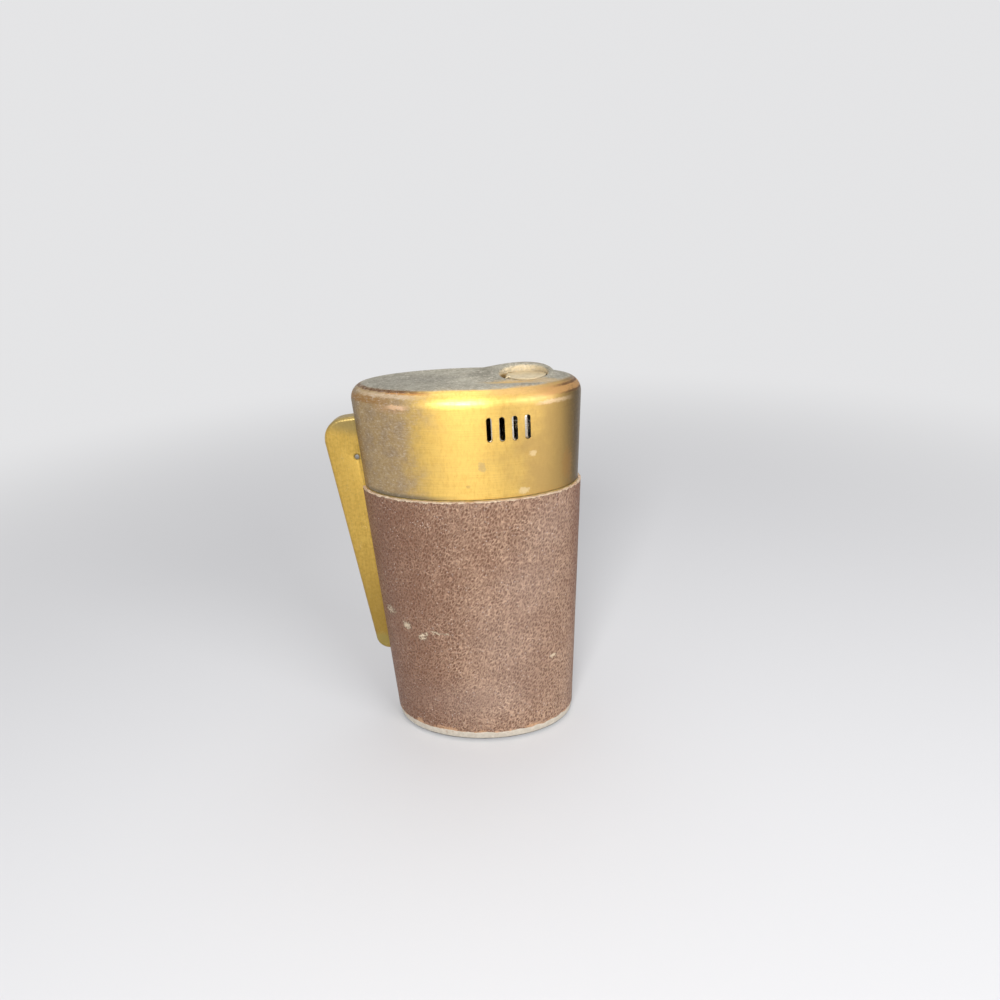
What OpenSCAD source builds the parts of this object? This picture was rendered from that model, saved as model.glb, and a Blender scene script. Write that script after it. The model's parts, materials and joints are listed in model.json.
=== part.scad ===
// Catalytic hand warmer with a squeeze-lever flint igniter.
// A tapered oval brass case, wrapped in leather, holds a benzine tank. The tank feeds a catalytic
// burner under a pull-off brass cap. Squeezing the side lever drives a toothed yoke, which spins the
// spark wheel beside the burner and swings the lid in the cap's chimney open.
// Millimetres. +Z is up, -X is the lever side, -Y is the front with the vent slots. The origin is the
// centre of the base's underside.

/* [Case] */
// Height from the base to the flat of the cap
height = 107; // [102:1:116]
// Width of the brass, side to side, at the height of the cap's flat
width_top = 62; // [60:0.5:66]
// Width of the brass at the base
width_base = 53.5; // [52:0.5:60]
// Depth of the brass, front to back
depth = 32.5; // [30:0.5:38]
// Sheet thickness of the case and the cap
wall = 0.6; // [0.4:0.05:0.8]
// Thickness of the leather
leather_t = 0.8; // [0.5:0.1:1.2]
// Height of the pale rim round the base
rim_h = 3.2; // [2.4:0.1:4.5]
// Sheet thickness of the rim
rim_t = 0.5; // [0.3:0.05:0.7]
// Thickness of the base plate
base_t = 2; // [1.8:0.1:3]

/* [Cap] */
// Height of the cap, from its joint with the case to its flat
cap_h = 28.7; // [27:0.1:31]
// Radius of the cap's shoulder
shoulder_r = 4.4; // [3:0.1:4.8]
// Number of vent slots on each side
vent_count = 4; // [2:1:5]
// Width of a vent slot
vent_w = 1.35; // [1:0.05:1.8]
// Length of a vent slot
vent_l = 6.4; // [4:0.1:7]
// Distance from one vent slot to the next
vent_pitch = 3.2; // [2.6:0.1:3.6]
// Side position of the first vent slot
vent_x = 7.2; // [5:0.1:8]
// Depth of the vent slots' middle below the cap's flat
vent_drop = 9.9; // [9:0.1:11]
// Length of the chimney mouth, side to side
mouth_l = 12.6; // [12:0.1:13.6]
// Width of the chimney mouth, front to back
mouth_w = 10.2; // [9.4:0.1:11]
// Side position of the mouth's middle
mouth_x = 15.8; // [15:0.1:16.4]
// Position of the mouth's middle towards the back
mouth_y = 1.2; // [0.6:0.1:1.4]
// Mean height of the drawn lip over the cap's flat
lip_h = 1.6; // [1:0.1:2.2]
// Rise of the lip from front to back, per millimetre
lip_tilt = 0.15; // [0:0.01:0.2]

/* [Lever] */
// Width of the lever's channel, front to back
lever_t = 5; // [5:0.1:6.5]
// Sheet thickness of the lever
lever_wall = 0.8; // [0.5:0.05:0.9]
// Lean of the lever at rest, beyond the slope of the case's side, in degrees
lever_splay = 4.18; // [3.8:0.02:4.5]
// Distance of the lever's spine from its pivot
lever_reach = 9; // [8.6:0.1:10]
// Radius of the lever's top corner
lever_top_r = 6.5; // [4:0.1:7]
// Radius of the lever's bottom corner
lever_foot_r = 4; // [2:0.1:4.5]
// Height of the lever's pivot
pivot_z = 28; // [26:0.1:32]
// Depth of the lever's pivot inside the case's side
pivot_depth = 4.46; // [4.3:0.02:4.7]
// Diameter of the pivot pin
pivot_d = 3; // [2:0.1:3.4]
// Diameter of the link pin
link_d = 1.3; // [1:0.05:1.6]
// Turn of the lever from rest to fully squeezed, in degrees
squeeze = 7.5; // [5:0.1:7.5]

/* [Igniter] */
// Module of the pinion and the rack teeth
tooth_module = 0.8; // [0.7:0.02:0.84]
// Teeth on a pinion
pinion_teeth = 10; // [9:1:11]
// Width of a pinion
pinion_w = 1.4; // [1:0.1:1.6]
// Diameter of the spark wheel
wheel_d = 10; // [9:0.1:10.4]
// Width of the spark wheel
wheel_w = 3.2; // [2.4:0.1:3.6]
// Diameter of the igniter's axle
axle_d = 2; // [1.4:0.1:2.4]
// Side position of the axle, towards the lever
axle_x = 3.5; // [3.4:0.1:4.2]
// Outer diameter of the flint tube
flint_tube_d = 5; // [4.4:0.1:5.6]
// Diameter of the flint
flint_d = 2.9; // [2.4:0.1:3]
// Thickness of the chassis sheet
chassis_t = 0.8; // [0.5:0.1:1]

/* [Tank and burner] */
// Distance from the lever's pivot to the tank's flat wall
tank_gap = 4.4; // [4.3:0.1:5.4]
// Sheet thickness of the tank
tank_wall = 0.5; // [0.3:0.05:0.8]
// Depth of the tank's top below the cap's flat
deck_drop = 34.2; // [33:0.1:36]
// Side position of the burner
burner_x = 16; // [15.6:0.1:17]
// Diameter of the burner's cage
burner_d = 13; // [12:0.1:14]
// Height of the burner's cage
cage_h = 12; // [9:0.1:12.5]
// Diameter of the holes in the cage
cage_hole_d = 1.5; // [1:0.1:1.8]
// Outer diameter of the burner's neck
neck_d = 9; // [7:0.1:10]
// Side position of the filler
filler_x = 13; // [12:0.1:15]
// Diameter of the filler plug's shank
filler_d = 6; // [5:0.1:7]

/* [Hidden] */

$fn = 48;
oval_sides = 72;       // points round each oval of the case
skin = 0.05;           // gap between faces that are soldered together
press = 0.02;          // radial gap of a pin that is pressed home
run = 0.05;            // radial gap of a running fit
slip = 0.08;           // gap between faces that slide
seat_gap = 0.1;        // gap at the end of a part that only rests on its neighbour
free = 0.3;            // gap between parts that pass each other
past = 1;              // how far a cutter runs past the face that it cuts

brass = [0.72, 0.55, 0.24];
tin = [0.72, 0.70, 0.66];
steel = [0.62, 0.63, 0.65];
hide = [0.33, 0.19, 0.15];
rubber = [0.2, 0.2, 0.21];
cotton = [0.92, 0.9, 0.84];

// Case
seam_z = height - cap_h;
cap_z = seam_z + 0.15;
case_foot = 0.35;      // the case stands on the rim's inturned flange
rim_round = 0.6;       // height of the rim's rounded foot
leather_foot = rim_h + seat_gap;
leather_seam = 0.3;    // width of the leather's joint line below the lever
collar_inset = wall + slip;
collar_t = 0.5;
collar_dip = 6;        // how far the collar reaches down into the case
collar_rise = 5.5;     // how far it reaches up into the cap
slot_w = lever_t + 0.8;
slot_half = slot_w / 2;
lever_low = 4;         // the lever's foot is this far below its pivot
slot_foot_z = pivot_z - lever_low - 0.8;
slot_top_z = height - 7.8;

// Cap
vent_z = height - vent_drop;
lip_edge = 0.5;        // half the thickness of the rolled lip
lip_depth = 2.6;       // how far the lip's inner wall hangs below the cap's flat
swell_from = 0.5;      // share of the way from shoulder to mouth at which the cap starts to rise
shield_z = height - 21;
shield_top = height - shoulder_r + 0.2;
shield_inset = wall + 0.25;
shield_t = 0.4;
shield_span = 80;      // the wind shield covers this angle to each side of +X
shield_slip = 0.3;     // its slots are this much further apart than the cap's

function half_width(z) = (width_base + (width_top - width_base) * z / height) / 2;

// Lever: the link pin's height over the pivot sets the yoke's travel
side_slope = atan((width_top - width_base) / 2 / height);
lever_lean = side_slope + lever_splay;
pivot_x = half_width(pivot_z) - pivot_depth;
link_z = height - 20.5;
lever_arm = link_z - pivot_z;
link_x = pivot_x + lever_arm * tan(lever_lean) + 0.88;
travel = lever_arm * sin(squeeze);
link_rise = norm([lever_arm, link_x - pivot_x]) - lever_arm;
lever_in = lever_t / 2 - lever_wall;
lever_top = (height - 9.3 - pivot_z) / cos(lever_lean) + 0.1;
lever_round = 1;       // radius of the lever's pressed edges
lever_flange = 1.3;    // depth of the channel's bent part, where the cheeks join it
lever_lip = 3.6;       // how far the lever's top reaches in past its pivot's line
lever_brow = 8;        // length of the cheeks' inner edge at the top
boss_r = 3;
rivet_t = 0.5;
rivet_rim = 0.6;       // how far a rivet's head stands out round its shank
sleeve_t = 0.6;
ear_t = 0.9;
ear_r = 2.4;
ear_y = lever_t / 2 + free;
ear_end = ear_y + ear_t;
bracket_t = 0.5;
bracket_h = 12;
bracket_dip = 5;       // the bracket's plate reaches this far below the pivot

// Return spring, between the tank and the lever's spine
tank_left = pivot_x - tank_gap;
spring_z = pivot_z + 30;
spring_r = 1.3;
spring_wire = 0.4;
spring_turns = 9;
stud_h = 3;
stud_r = spring_r - spring_wire / 2 - 0.15;
seat_t = 0.5;
seat_d = 5;
seat_x = tank_left + skin + seat_t;
spine_x = pivot_x + (lever_reach - lever_wall) * cos(lever_lean) + (spring_z - pivot_z) * tan(lever_lean);

// Igniter
axle_z = height - 18.5;
pitch_r = tooth_module * pinion_teeth / 2;
rack_z = axle_z - pitch_r;
press_angle = 25;
tooth_up = 0.7 * tooth_module;
tooth_down = tooth_module;
backlash = 0.14;
tooth_step = PI * tooth_module;
wheel_teeth = 36;
wheel_tooth = 0.3;     // depth of the filed teeth
axle_wall = 1;         // thickness of the hubs, washers and clips round the axle
axle_past = 1.2;       // how far the axle stands out of each cheek
clip_t = 0.5;
clip_gap = 0.15;
pinion_y = 3.3;        // inner face of the pinions and the rack bars
pinion_end = pinion_y + pinion_w;
cheek_y = pinion_end + 1.3;
cheek_end = cheek_y + chassis_t;
cheek_r = 4;
chassis_half = 7;

// Yoke
bar_h = 2;             // depth of the rack bars below their teeth
bar_foot = rack_z - tooth_down - bar_h;
rack_root = 0.4;       // how far the toothed strip runs down into its bar
rack_land = 1.4;       // plain length at each end of the teeth
rack_spare = 3.5;      // length of teeth beyond the travel
web_x = tank_left + 3; // outer face of the yoke's web
web_t = 2.5;
tongue_half = lever_in - 0.35;
tongue_h = 4.4;
tongue_top = link_z + tongue_h / 2;
tongue_past = 2.2;     // how far the tongue reaches past the link pin
link_play = 0.3;       // play of the link pin in the tongue's slot, along the travel
guide_d = 1.6;
guide_z = bar_foot - 0.2 - guide_d / 2;
guide_gap = 3.7;       // distance of each guide pin from the flint tube's axis
guide_past = 0.4;

// Lid: its arm leans back by half its swing, so the yoke's finger turns it at a nearly steady rate
lid_z = height - 0.85;
lid_x = mouth_x - mouth_l / 2 + 2.3;
lid_t = 0.5;
lid_gap = 0.4;
lid_relief = 1.1;      // the lid is drawn in beside its hinge by this much, to clear the mouth as it swings
lid_pin_d = 1;
lid_pin_half = 4.1;
lid_drop = 7.5;        // depth of the finger below the lid's pin
lid_swing = 2 * atan(travel / 2 / lid_drop);
lid_arm = 9;
lid_arm_t = 0.8;
lid_arm_w = 3;
lid_barrel = 1.9;
lid_barrel_d = 2;
finger_r = 1;
finger_z = lid_z - lid_drop;
finger_x = lid_x - lid_drop * tan(lid_swing / 2) - (finger_r + lid_arm_t / 2) / cos(lid_swing / 2) - 0.2;

// Flint and the screws in the base
flint_bore = flint_d / 2 + 0.1;
tank_foot = base_t + seat_gap;
tube_top = axle_z - wheel_d / 2 - 0.5;
flint_top = axle_z - wheel_d / 2 - 0.05;
flint_l = 5;
feed_wire = 0.4;
feed_turns = 14;
counterbore = 1.4;     // depth of the screws' seats in the base plate
bore_gap = 0.25;       // gap round a screw's head in its seat
head_z = 0.15;         // the screws' heads lie this far inside the base
slit_w = 0.8;
slit_h = 0.4;
washer_t = 0.4;
filler_head_r = filler_d / 2 + 1.8;
filler_head_h = counterbore - head_z - washer_t - 2 * run;
flint_head_r = flint_tube_d / 2 + 0.2;
flint_head_h = counterbore - head_z - run;
screw_l = 9;
plug_l = 5.5;
bush_t = 1.3;

// Tank
deck_z = height - deck_drop;
tank_inset = wall + 1;
tank_lid_t = 0.8;
wadding_gap = 0.2;
wadding_z = tank_foot + plug_l + 1;
wadding_drop = 8;      // depth of the wadding's top below the tank's
screw_r = 0.8;
screw_head_r = 1.5;
screw_head_h = 0.9;
screw_slit = 0.4;
screw_in = 1.8;        // distance of the chassis's screws from its ends
screw_y = pinion_y + 0.4;

// Burner
cage_z = height - 23;
cage_t = 0.45;
cage_lip = 2;          // width of the basket's inturned top
cage_row = 2.4;
cage_first = 1.7;
cage_around = 12;
cup_t = 0.5;
cup_dish = 1.4;        // height of the cup's rim
cup_throat = 3.2;      // depth of the cone below the rim
neck_t = 0.7;
neck_dip = 4;
neck_flange = 0.5;
neck_rim = 1.5;
neck_top = cage_z - 3;
wick_foot = deck_z - 19;
mat_gap = 0.2;
mat_dip = 1;
gauze_wire = 0.3;
gauze_pitch = 1.5;
gauze_rim = 0.6;
gauze_r = burner_d / 2 - cage_t - mat_gap;
gauze_z = cage_z + cage_h - cage_t - seat_gap - 2 * gauze_wire;

// A ring of points at height z round an oval of the case's depth
function ring(z, half, inset) = [for (i = [0:oval_sides - 1]) let (t = 360 * i / oval_sides)
    [(half - inset) * cos(t), (depth / 2 - inset) * sin(t), z]];

// The case's own ring at height z, set in from the brass's outside
function oval(z, inset = 0) = ring(z, half_width(z), inset);

// Triangles between ring a and ring b of n points each
function band(a, b, n) = [for (i = [0:n - 1]) let (j = (i + 1) % n)
    each [[a * n + i, b * n + i, b * n + j], [a * n + i, b * n + j, a * n + j]]];

// A solid through rings that end in two flat faces
module lofted(rings) {
    n = len(rings[0]);
    m = len(rings);
    polyhedron([for (r = rings) each r], concat([[for (i = [0:n - 1]) i]],
        [for (k = [0:m - 2]) each band(k, k + 1, n)], [[for (i = [n - 1:-1:0]) (m - 1) * n + i]]));
}

// A solid through rings that run up the outside, back down the inside, and close on themselves
module looped(rings) {
    n = len(rings[0]);
    m = len(rings);
    polyhedron([for (r = rings) each r], [for (k = [0:m - 1]) each band(k, (k + 1) % m, n)]);
}

// A tube of the case's shape, between two heights and two insets
module oval_tube(z0, z1, outer, inner)
    looped([oval(z0, outer), oval(z1, outer), oval(z1, inner), oval(z0, inner)]);

// The tank's shape between two heights: the case's oval, set in, with its lever side cut flat at x = -left
module tank_form(z0, z1, inset, left) intersection() {
    lofted([oval(z0, inset), oval(z1, inset)]);
    translate([-left, -depth, z0 - past]) cube([width_top, 2 * depth, z1 - z0 + 2 * past]);
}

// A round bar along Y
module bar_y(d, y0, y1) translate([0, y1, 0]) rotate([90, 0, 0]) cylinder(d = d, h = y1 - y0);

// A ring along Y
module ring_y(d, hole, y0, y1) difference() {
    bar_y(d, y0, y1);
    bar_y(hole, y0 - past, y1 + past);
}

// The lever's slot, cut into whatever lies on its side of the case
module lever_slot(z0, z1) translate([-width_top, -slot_half, z0]) cube([width_top, slot_w, z1 - z0]);

// A round-ended slot through one wall, long in Z, cut from y0 to y1
module vent_cutter(x, z, w, l, y0, y1) translate([x, y0, z]) {
    translate([-w / 2, 0, w / 2 - l / 2]) cube([w, y1 - y0, l - w]);
    for (end = [-1, 1]) translate([0, 0, end * (l - w) / 2]) bar_y(w, 0, y1 - y0);
}

// A helix of round wire with flat ends, up along Z
module coil(r, wire, length, turns, steps = 10, sides = 6) {
    count = turns * steps;
    rise = length - wire;
    rings = [for (k = [0:count]) let (a = 360 * k / steps, z = wire / 2 + rise * k / count)
        [for (s = [0:sides - 1]) let (q = 360 * s / sides, w = wire / 2)
            [(r + w * cos(q)) * cos(a), (r + w * cos(q)) * sin(a), z - w * sin(q)]]];
    lofted(rings);
}

// ---- Case ----

module case_shell() color(brass) difference() {
    oval_tube(case_foot, seam_z, 0, wall);
    lever_slot(slot_foot_z, seam_z + past);
}

module leather_wrap() color(hide) difference() {
    oval_tube(leather_foot, seam_z, -skin - leather_t, -skin);
    lever_slot(slot_foot_z, seam_z + past);
    translate([-width_top, -leather_seam / 2, 0]) cube([width_top, leather_seam, slot_foot_z + past]);
}

// Pale ring round the foot, turned in under the case
module base_rim() color(tin) looped([
    oval(rim_h, -skin - rim_t), oval(rim_h, -skin), oval(case_foot - skin, -skin),
    oval(case_foot - skin, wall), oval(0, wall), oval(0, rim_t / 2),
    oval(rim_round / 4, -rim_t / 2), oval(rim_round, -skin - rim_t)]);

module base_plate() color(tin) difference() {
    linear_extrude(base_t) polygon([for (p = oval(0, wall + skin)) [p[0], p[1]]]);
    screw_seat(-axle_x, flint_head_r + bore_gap, flint_d / 2 + run);
    screw_seat(filler_x, filler_head_r + bore_gap, filler_d / 2 + run);
}

// A counterbored hole up through the base plate
module screw_seat(x, seat_r, hole_r) translate([x, 0, -past]) {
    cylinder(r = seat_r, h = counterbore + past);
    cylinder(r = hole_r, h = base_t + 2 * past);
}

// The collar follows the case's taper below the joint and stands straight above it, so the cap pulls off
module cap_collar() color(brass) difference() {
    looped([for (side = [collar_inset, collar_inset + collar_t]) each let (
        low = oval(seam_z - collar_dip, side), mid = oval(seam_z, side),
        high = ring(seam_z + collar_rise, half_width(seam_z), side))
        side == collar_inset ? [low, mid, high] : [high, mid, low]]);
    lever_slot(seam_z - collar_dip - past, seam_z + collar_rise + past);
}

// ---- Cap ----

// How far the cap's top has swollen at a share s of the way from the shoulder to the mouth
function swell(s) = let (u = max(0, (s - swell_from) / (1 - swell_from))) u * u * (3 - 2 * u);

// One ring of the cap's top. At s = 1 it is the lip's crest, grow outside the mouth.
function top_ring(s, drop, grow) = let (flat = oval(height, shoulder_r)) [for (i = [0:oval_sides - 1])
    let (t = 360 * i / oval_sides,
        x = mouth_x + (mouth_l / 2 + grow) * cos(t),
        y = mouth_y + (mouth_w / 2 + grow) * sin(t),
        px = (1 - s) * flat[i][0] + s * x,
        py = (1 - s) * flat[i][1] + s * y)
    [px, py, height - drop + swell(s) * (lip_h + lip_tilt * (py - mouth_y))]];

// A level ring round the mouth
function mouth_ring(z, grow) = [for (i = [0:oval_sides - 1]) let (t = 360 * i / oval_sides)
    [mouth_x + (mouth_l / 2 + grow) * cos(t), mouth_y + (mouth_w / 2 + grow) * sin(t), z]];

// The shoulder's rings, from the wall up to the flat, with the sheet's inside at inset = wall
function shoulder(inset, turns) = [for (q = turns) let (r = shoulder_r - inset)
    oval(height - shoulder_r + r * sin(q), shoulder_r - r * cos(q))];

module cap_shell() color(brass) difference() {
    looped(concat(
        [oval(cap_z, 0)], shoulder(0, [0:15:90]),
        [for (s = [0.3, 0.5, 0.6, 0.7, 0.8, 0.9, 1]) top_ring(s, 0, lip_edge)],
        [top_ring(1, lip_edge * 0.3, lip_edge * 0.3), top_ring(1, lip_edge, 0)],
        [mouth_ring(height - lip_depth, 0), mouth_ring(height - lip_depth, wall)],
        [for (s = [1, 0.85, 0.7, 0.5]) top_ring(s, wall * 1.4, wall)],
        shoulder(wall, [90:-22.5:0]), [oval(cap_z, wall)]));
    for (i = [0:vent_count - 1], back = [0, 1]) mirror([0, back, 0])
        vent_cutter(vent_x + i * vent_pitch, vent_z, vent_w, vent_l, -depth, -depth / 6);
    lever_slot(cap_z - past, slot_top_z);
    translate([lid_x, mouth_y, lid_z]) bar_y(lid_pin_d + 2 * press, -mouth_w, mouth_w);
}

// Right-hand stretch of an oval, d inside the brass's outside at height z
function side_arc(z, d) = [for (t = [-shield_span:5:shield_span])
    [(half_width(z) - d) * cos(t), (depth / 2 - d) * sin(t)]];

function reversed(list) = [for (i = [len(list) - 1:-1:0]) list[i]];

// Nickelled liner behind the vents
module wind_shield() color(steel) difference() {
    translate([0, 0, shield_z]) linear_extrude(shield_top - shield_z) polygon(concat(
        side_arc(shield_z, shield_inset), reversed(side_arc(shield_z, shield_inset + shield_t))));
    for (i = [0:vent_count - 1], back = [0, 1]) mirror([0, back, 0])
        vent_cutter(vent_x + i * vent_pitch + (i - 1) * shield_slip, vent_z, vent_w, vent_l,
            -depth, -depth / 6);
}

// Lid with its barrel and the arm that the yoke's finger pushes
module chimney_lid() color(brass) difference() {
    union() {
        translate([0, 0, height - lid_t]) linear_extrude(lid_t) intersection() {
            lid_outline();
            translate([lid_relief, 0]) lid_outline();
            translate([lid_x - seat_gap, mouth_y - mouth_w]) square([mouth_l, 2 * mouth_w]);
        }
        translate([lid_x, mouth_y, lid_z]) bar_y(lid_barrel_d, -lid_barrel, lid_barrel);
        translate([lid_x, mouth_y, lid_z]) rotate([0, lid_swing / 2, 0])
            translate([-lid_arm_t / 2, -lid_barrel, -lid_arm]) cube([lid_arm_t, lid_arm_w, lid_arm]);
    }
    translate([lid_x, mouth_y, lid_z]) bar_y(lid_pin_d + 2 * run, -mouth_w, mouth_w);
}

module lid_outline() polygon([for (p = mouth_ring(0, -lid_gap)) [p[0], p[1]]]);

module lid_pin() color(steel) translate([lid_x, mouth_y, lid_z])
    bar_y(lid_pin_d, -lid_pin_half, lid_pin_half);

// ---- Lever ----

function arc(cx, cy, r, a0, a1, n) = [for (k = [0:n]) let (a = a0 + (a1 - a0) * k / n)
    [cx + r * cos(a), cy + r * sin(a)]];

// Cross-section of the pressed channel: x = 0 is the spine's outside, y runs front to back
module channel_section() difference() {
    union() {
        translate([lever_round, -lever_t / 2]) square([lever_flange - lever_round, lever_t]);
        translate([0, lever_round - lever_t / 2]) square([lever_flange, lever_t - 2 * lever_round]);
        for (side = [-1, 1]) translate([lever_round, side * (lever_t / 2 - lever_round)])
            circle(r = lever_round);
    }
    translate([lever_wall, -lever_in]) square([lever_flange, 2 * lever_in]);
}

// The channel bent round a corner of radius r, whose centre is at x, z. It turns 90 degrees on from a.
module channel_corner(x, z, r, a) translate([x, 0, z]) rotate([90, -a, 0]) rotate_extrude(angle = 90)
    intersection() {
        translate([r, 0]) mirror([1, 0]) channel_section();
        translate([0, -lever_t]) square(2 * lever_t);
    }

// A flat cheek of the channel, from the pivot's boss up to the top
module cheek() rotate([90, 0, 0]) linear_extrude(lever_wall) polygon(concat(
    arc(lever_foot_r - lever_reach, lever_foot_r - lever_low, lever_foot_r - lever_round, 270, 180, 8),
    arc(lever_top_r - lever_reach, lever_top - lever_top_r, lever_top_r - lever_round, 180, 90, 8),
    [[lever_lip, lever_top - lever_round], [lever_lip - lever_round, lever_top - lever_brow],
        [-boss_r, boss_r * 4], [-boss_r / 2, boss_r * 1.4]],
    arc(0, 0, boss_r, 90, -60, 10), [[-lever_foot_r, lever_round - lever_low]]));

// The lever upright, with its pivot at the origin and its spine at x = -lever_reach
module lever_form() {
    low = lever_foot_r - lever_low;
    high = lever_top - lever_top_r;
    translate([-lever_reach, 0, low]) linear_extrude(high - low) channel_section();
    channel_corner(lever_foot_r - lever_reach, low, lever_foot_r, 180);
    channel_corner(lever_top_r - lever_reach, high, lever_top_r, 90);
    translate([lever_top_r - lever_reach, 0, lever_top]) rotate([0, 90, 0])
        linear_extrude(lever_reach - lever_top_r + lever_lip) channel_section();
    translate([lever_foot_r - lever_reach, 0, -lever_low]) mirror([0, 0, 1]) rotate([0, 90, 0])
        linear_extrude(lever_round) channel_section();
    for (side = [0, 1]) mirror([0, side, 0]) translate([0, lever_t / 2, 0]) cheek();
}

module lever() color(brass) difference() {
    translate([-pivot_x, 0, pivot_z]) rotate([0, -lever_lean, 0]) lever_form();
    translate([-pivot_x, 0, pivot_z]) bar_y(pivot_d + 2 * run, -lever_t, lever_t);
    translate([-link_x, 0, link_z]) bar_y(link_d + 2 * press, -lever_t, lever_t);
}

module link_pin() color(steel) translate([-link_x, 0, link_z]) bar_y(link_d, -lever_t / 2, lever_t / 2);

module pivot_pin() color(steel) translate([-pivot_x, 0, pivot_z]) {
    bar_y(pivot_d, -ear_end - seat_gap, ear_end + seat_gap);
    for (side = [0, 1]) mirror([0, side, 0])
        bar_y(pivot_d + 2 * rivet_rim, ear_end + seat_gap, ear_end + seat_gap + rivet_t);
}

module pivot_sleeve() color(brass) translate([-pivot_x, 0, pivot_z])
    ring_y(pivot_d + 2 * sleeve_t, pivot_d + 2 * run, -lever_in + seat_gap, lever_in - seat_gap);

// Bracket on the tank's flat wall that carries the pivot pin
module pivot_bracket() color(steel) translate([-pivot_x, 0, pivot_z]) difference() {
    union() {
        translate([tank_gap - skin - bracket_t, -ear_end, -bracket_dip])
            cube([bracket_t, 2 * ear_end, bracket_h]);
        for (side = [0, 1]) mirror([0, side, 0]) {
            translate([0, ear_y, -ear_r]) cube([tank_gap - skin - bracket_t / 2, ear_t, 2 * ear_r]);
            bar_y(2 * ear_r, ear_y, ear_end);
        }
    }
    bar_y(pivot_d + 2 * press, -ear_end - past, ear_end + past);
}

module return_spring() color(steel) translate([-seat_x - seat_gap, 0, spring_z]) rotate([0, -90, 0])
    coil(spring_r, spring_wire, spine_x - seat_x - free - seat_gap, spring_turns);

module spring_seat() color(steel) translate([-tank_left - skin, 0, spring_z]) rotate([0, -90, 0]) {
    cylinder(d = seat_d, h = seat_t);
    cylinder(r = stud_r, h = seat_t + stud_h);
}

// ---- Yoke, wheel and chassis ----

// Rack teeth along X, centred on the pitch line z = 0, with a tooth at x = 0
function rack_teeth(first, last) = let (half = tooth_step / 4 - backlash / 4, k = tan(press_angle))
    [for (i = [first:last]) let (c = i * tooth_step) each [
        [c - half - tooth_down * k, -tooth_down], [c - half + tooth_up * k, tooth_up],
        [c + half - tooth_up * k, tooth_up], [c + half + tooth_down * k, -tooth_down]]];

// The yoke's tongue, bars and finger are one pressing. Its travel is to +X.
module rack_yoke() color(steel) {
    first = -ceil((travel + rack_spare) / tooth_step);
    bar_left = -web_x + web_t / 2;
    bar_right = -axle_x + tooth_step + rack_land;
    for (side = [0, 1]) mirror([0, side, 0]) translate([0, pinion_end, 0]) rotate([90, 0, 0])
        linear_extrude(pinion_w) {
            translate([-axle_x, rack_z]) polygon(concat(
                [[first * tooth_step - rack_land, -tooth_down - rack_root]], rack_teeth(first, 1),
                [[tooth_step + rack_land, -tooth_down - rack_root]]));
            translate([bar_left, bar_foot]) square([bar_right - bar_left, bar_h]);
        }
    translate([-web_x, -pinion_end, bar_foot]) cube([web_t, 2 * pinion_end, tongue_top - bar_foot]);
    difference() {
        translate([-link_x - tongue_past, -tongue_half, link_z - tongue_h / 2])
            cube([link_x + tongue_past - web_x + web_t / 2, 2 * tongue_half, tongue_h]);
        vent_cutter(-link_x, link_z + link_rise / 2, link_d + link_play, link_d + link_rise + link_play,
            -lever_t, lever_t);
    }
    translate([-web_x, -tongue_half, bar_foot])
        cube([web_t, 2 * tongue_half, finger_z + finger_r - bar_foot]);
    translate([-web_x, -tongue_half, finger_z - finger_r])
        cube([web_x + finger_x, 2 * tongue_half, 2 * finger_r]);
    translate([finger_x, 0, finger_z]) bar_y(2 * finger_r, -tongue_half, tongue_half);
}

// Involute angle at radius r, in degrees
function involute(r) = let (a = acos(min(1, pitch_r * cos(press_angle) / r))) tan(a) * 180 / PI - a;

// One pinion's outline, with a gap between teeth pointing down
function pinion_outline() = let (
    tip = pitch_r + tooth_up, root = pitch_r - tooth_down, base = pitch_r * cos(press_angle),
    half = (tooth_step / 2 - backlash / 2) / 2 / pitch_r * 180 / PI + involute(pitch_r),
    radii = [root, base, (base + pitch_r) / 2, pitch_r, (pitch_r + tip) / 2, tip])
    [for (i = [0:pinion_teeth - 1]) let (mid = -90 + (i + 0.5) * 360 / pinion_teeth) each concat(
        [for (r = radii) let (a = mid - half + (r > base ? involute(r) : 0)) [r * cos(a), r * sin(a)]],
        [for (k = [len(radii) - 1:-1:0]) let (r = radii[k], a = mid + half - (r > base ? involute(r) : 0))
            [r * cos(a), r * sin(a)]])];

module pinions() color(brass) for (side = [-1, 1])
    translate([-axle_x, side * (pinion_y + pinion_w / 2), axle_z]) difference() {
        rotate([90, 0, 0]) linear_extrude(pinion_w, center = true) polygon(pinion_outline());
        bar_y(axle_d + 2 * press, -pinion_w, pinion_w);
    }

// Wheel with filed teeth and a hub that spaces the pinions
module spark_wheel() color(steel) translate([-axle_x, 0, axle_z]) difference() {
    union() {
        rotate([90, 0, 0]) linear_extrude(wheel_w, center = true) polygon(
            [for (i = [0:wheel_teeth - 1]) let (a = 360 * i / wheel_teeth, b = a + 120 / wheel_teeth) each
                [(wheel_d / 2 - wheel_tooth) * [cos(a), sin(a)], wheel_d / 2 * [cos(b), sin(b)]]]);
        bar_y(axle_d + 2 * axle_wall, -pinion_y + skin, pinion_y - skin);
    }
    bar_y(axle_d + 2 * press, -pinion_end, pinion_end);
}

module igniter_axle() color(steel) translate([-axle_x, 0, axle_z])
    bar_y(axle_d, -cheek_end - axle_past, cheek_end + axle_past);

module wave_washers() color(brass) translate([-axle_x, 0, axle_z]) for (side = [0, 1]) mirror([0, side, 0])
    ring_y(axle_d + 2 * axle_wall, axle_d + 2 * run, pinion_end + seat_gap, cheek_y - seat_gap);

module axle_clips() color(steel) translate([-axle_x, 0, axle_z]) for (side = [0, 1]) mirror([0, side, 0])
    ring_y(axle_d + 2 * axle_wall, axle_d + 2 * press, cheek_end + clip_gap, cheek_end + clip_gap + clip_t);

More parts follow.
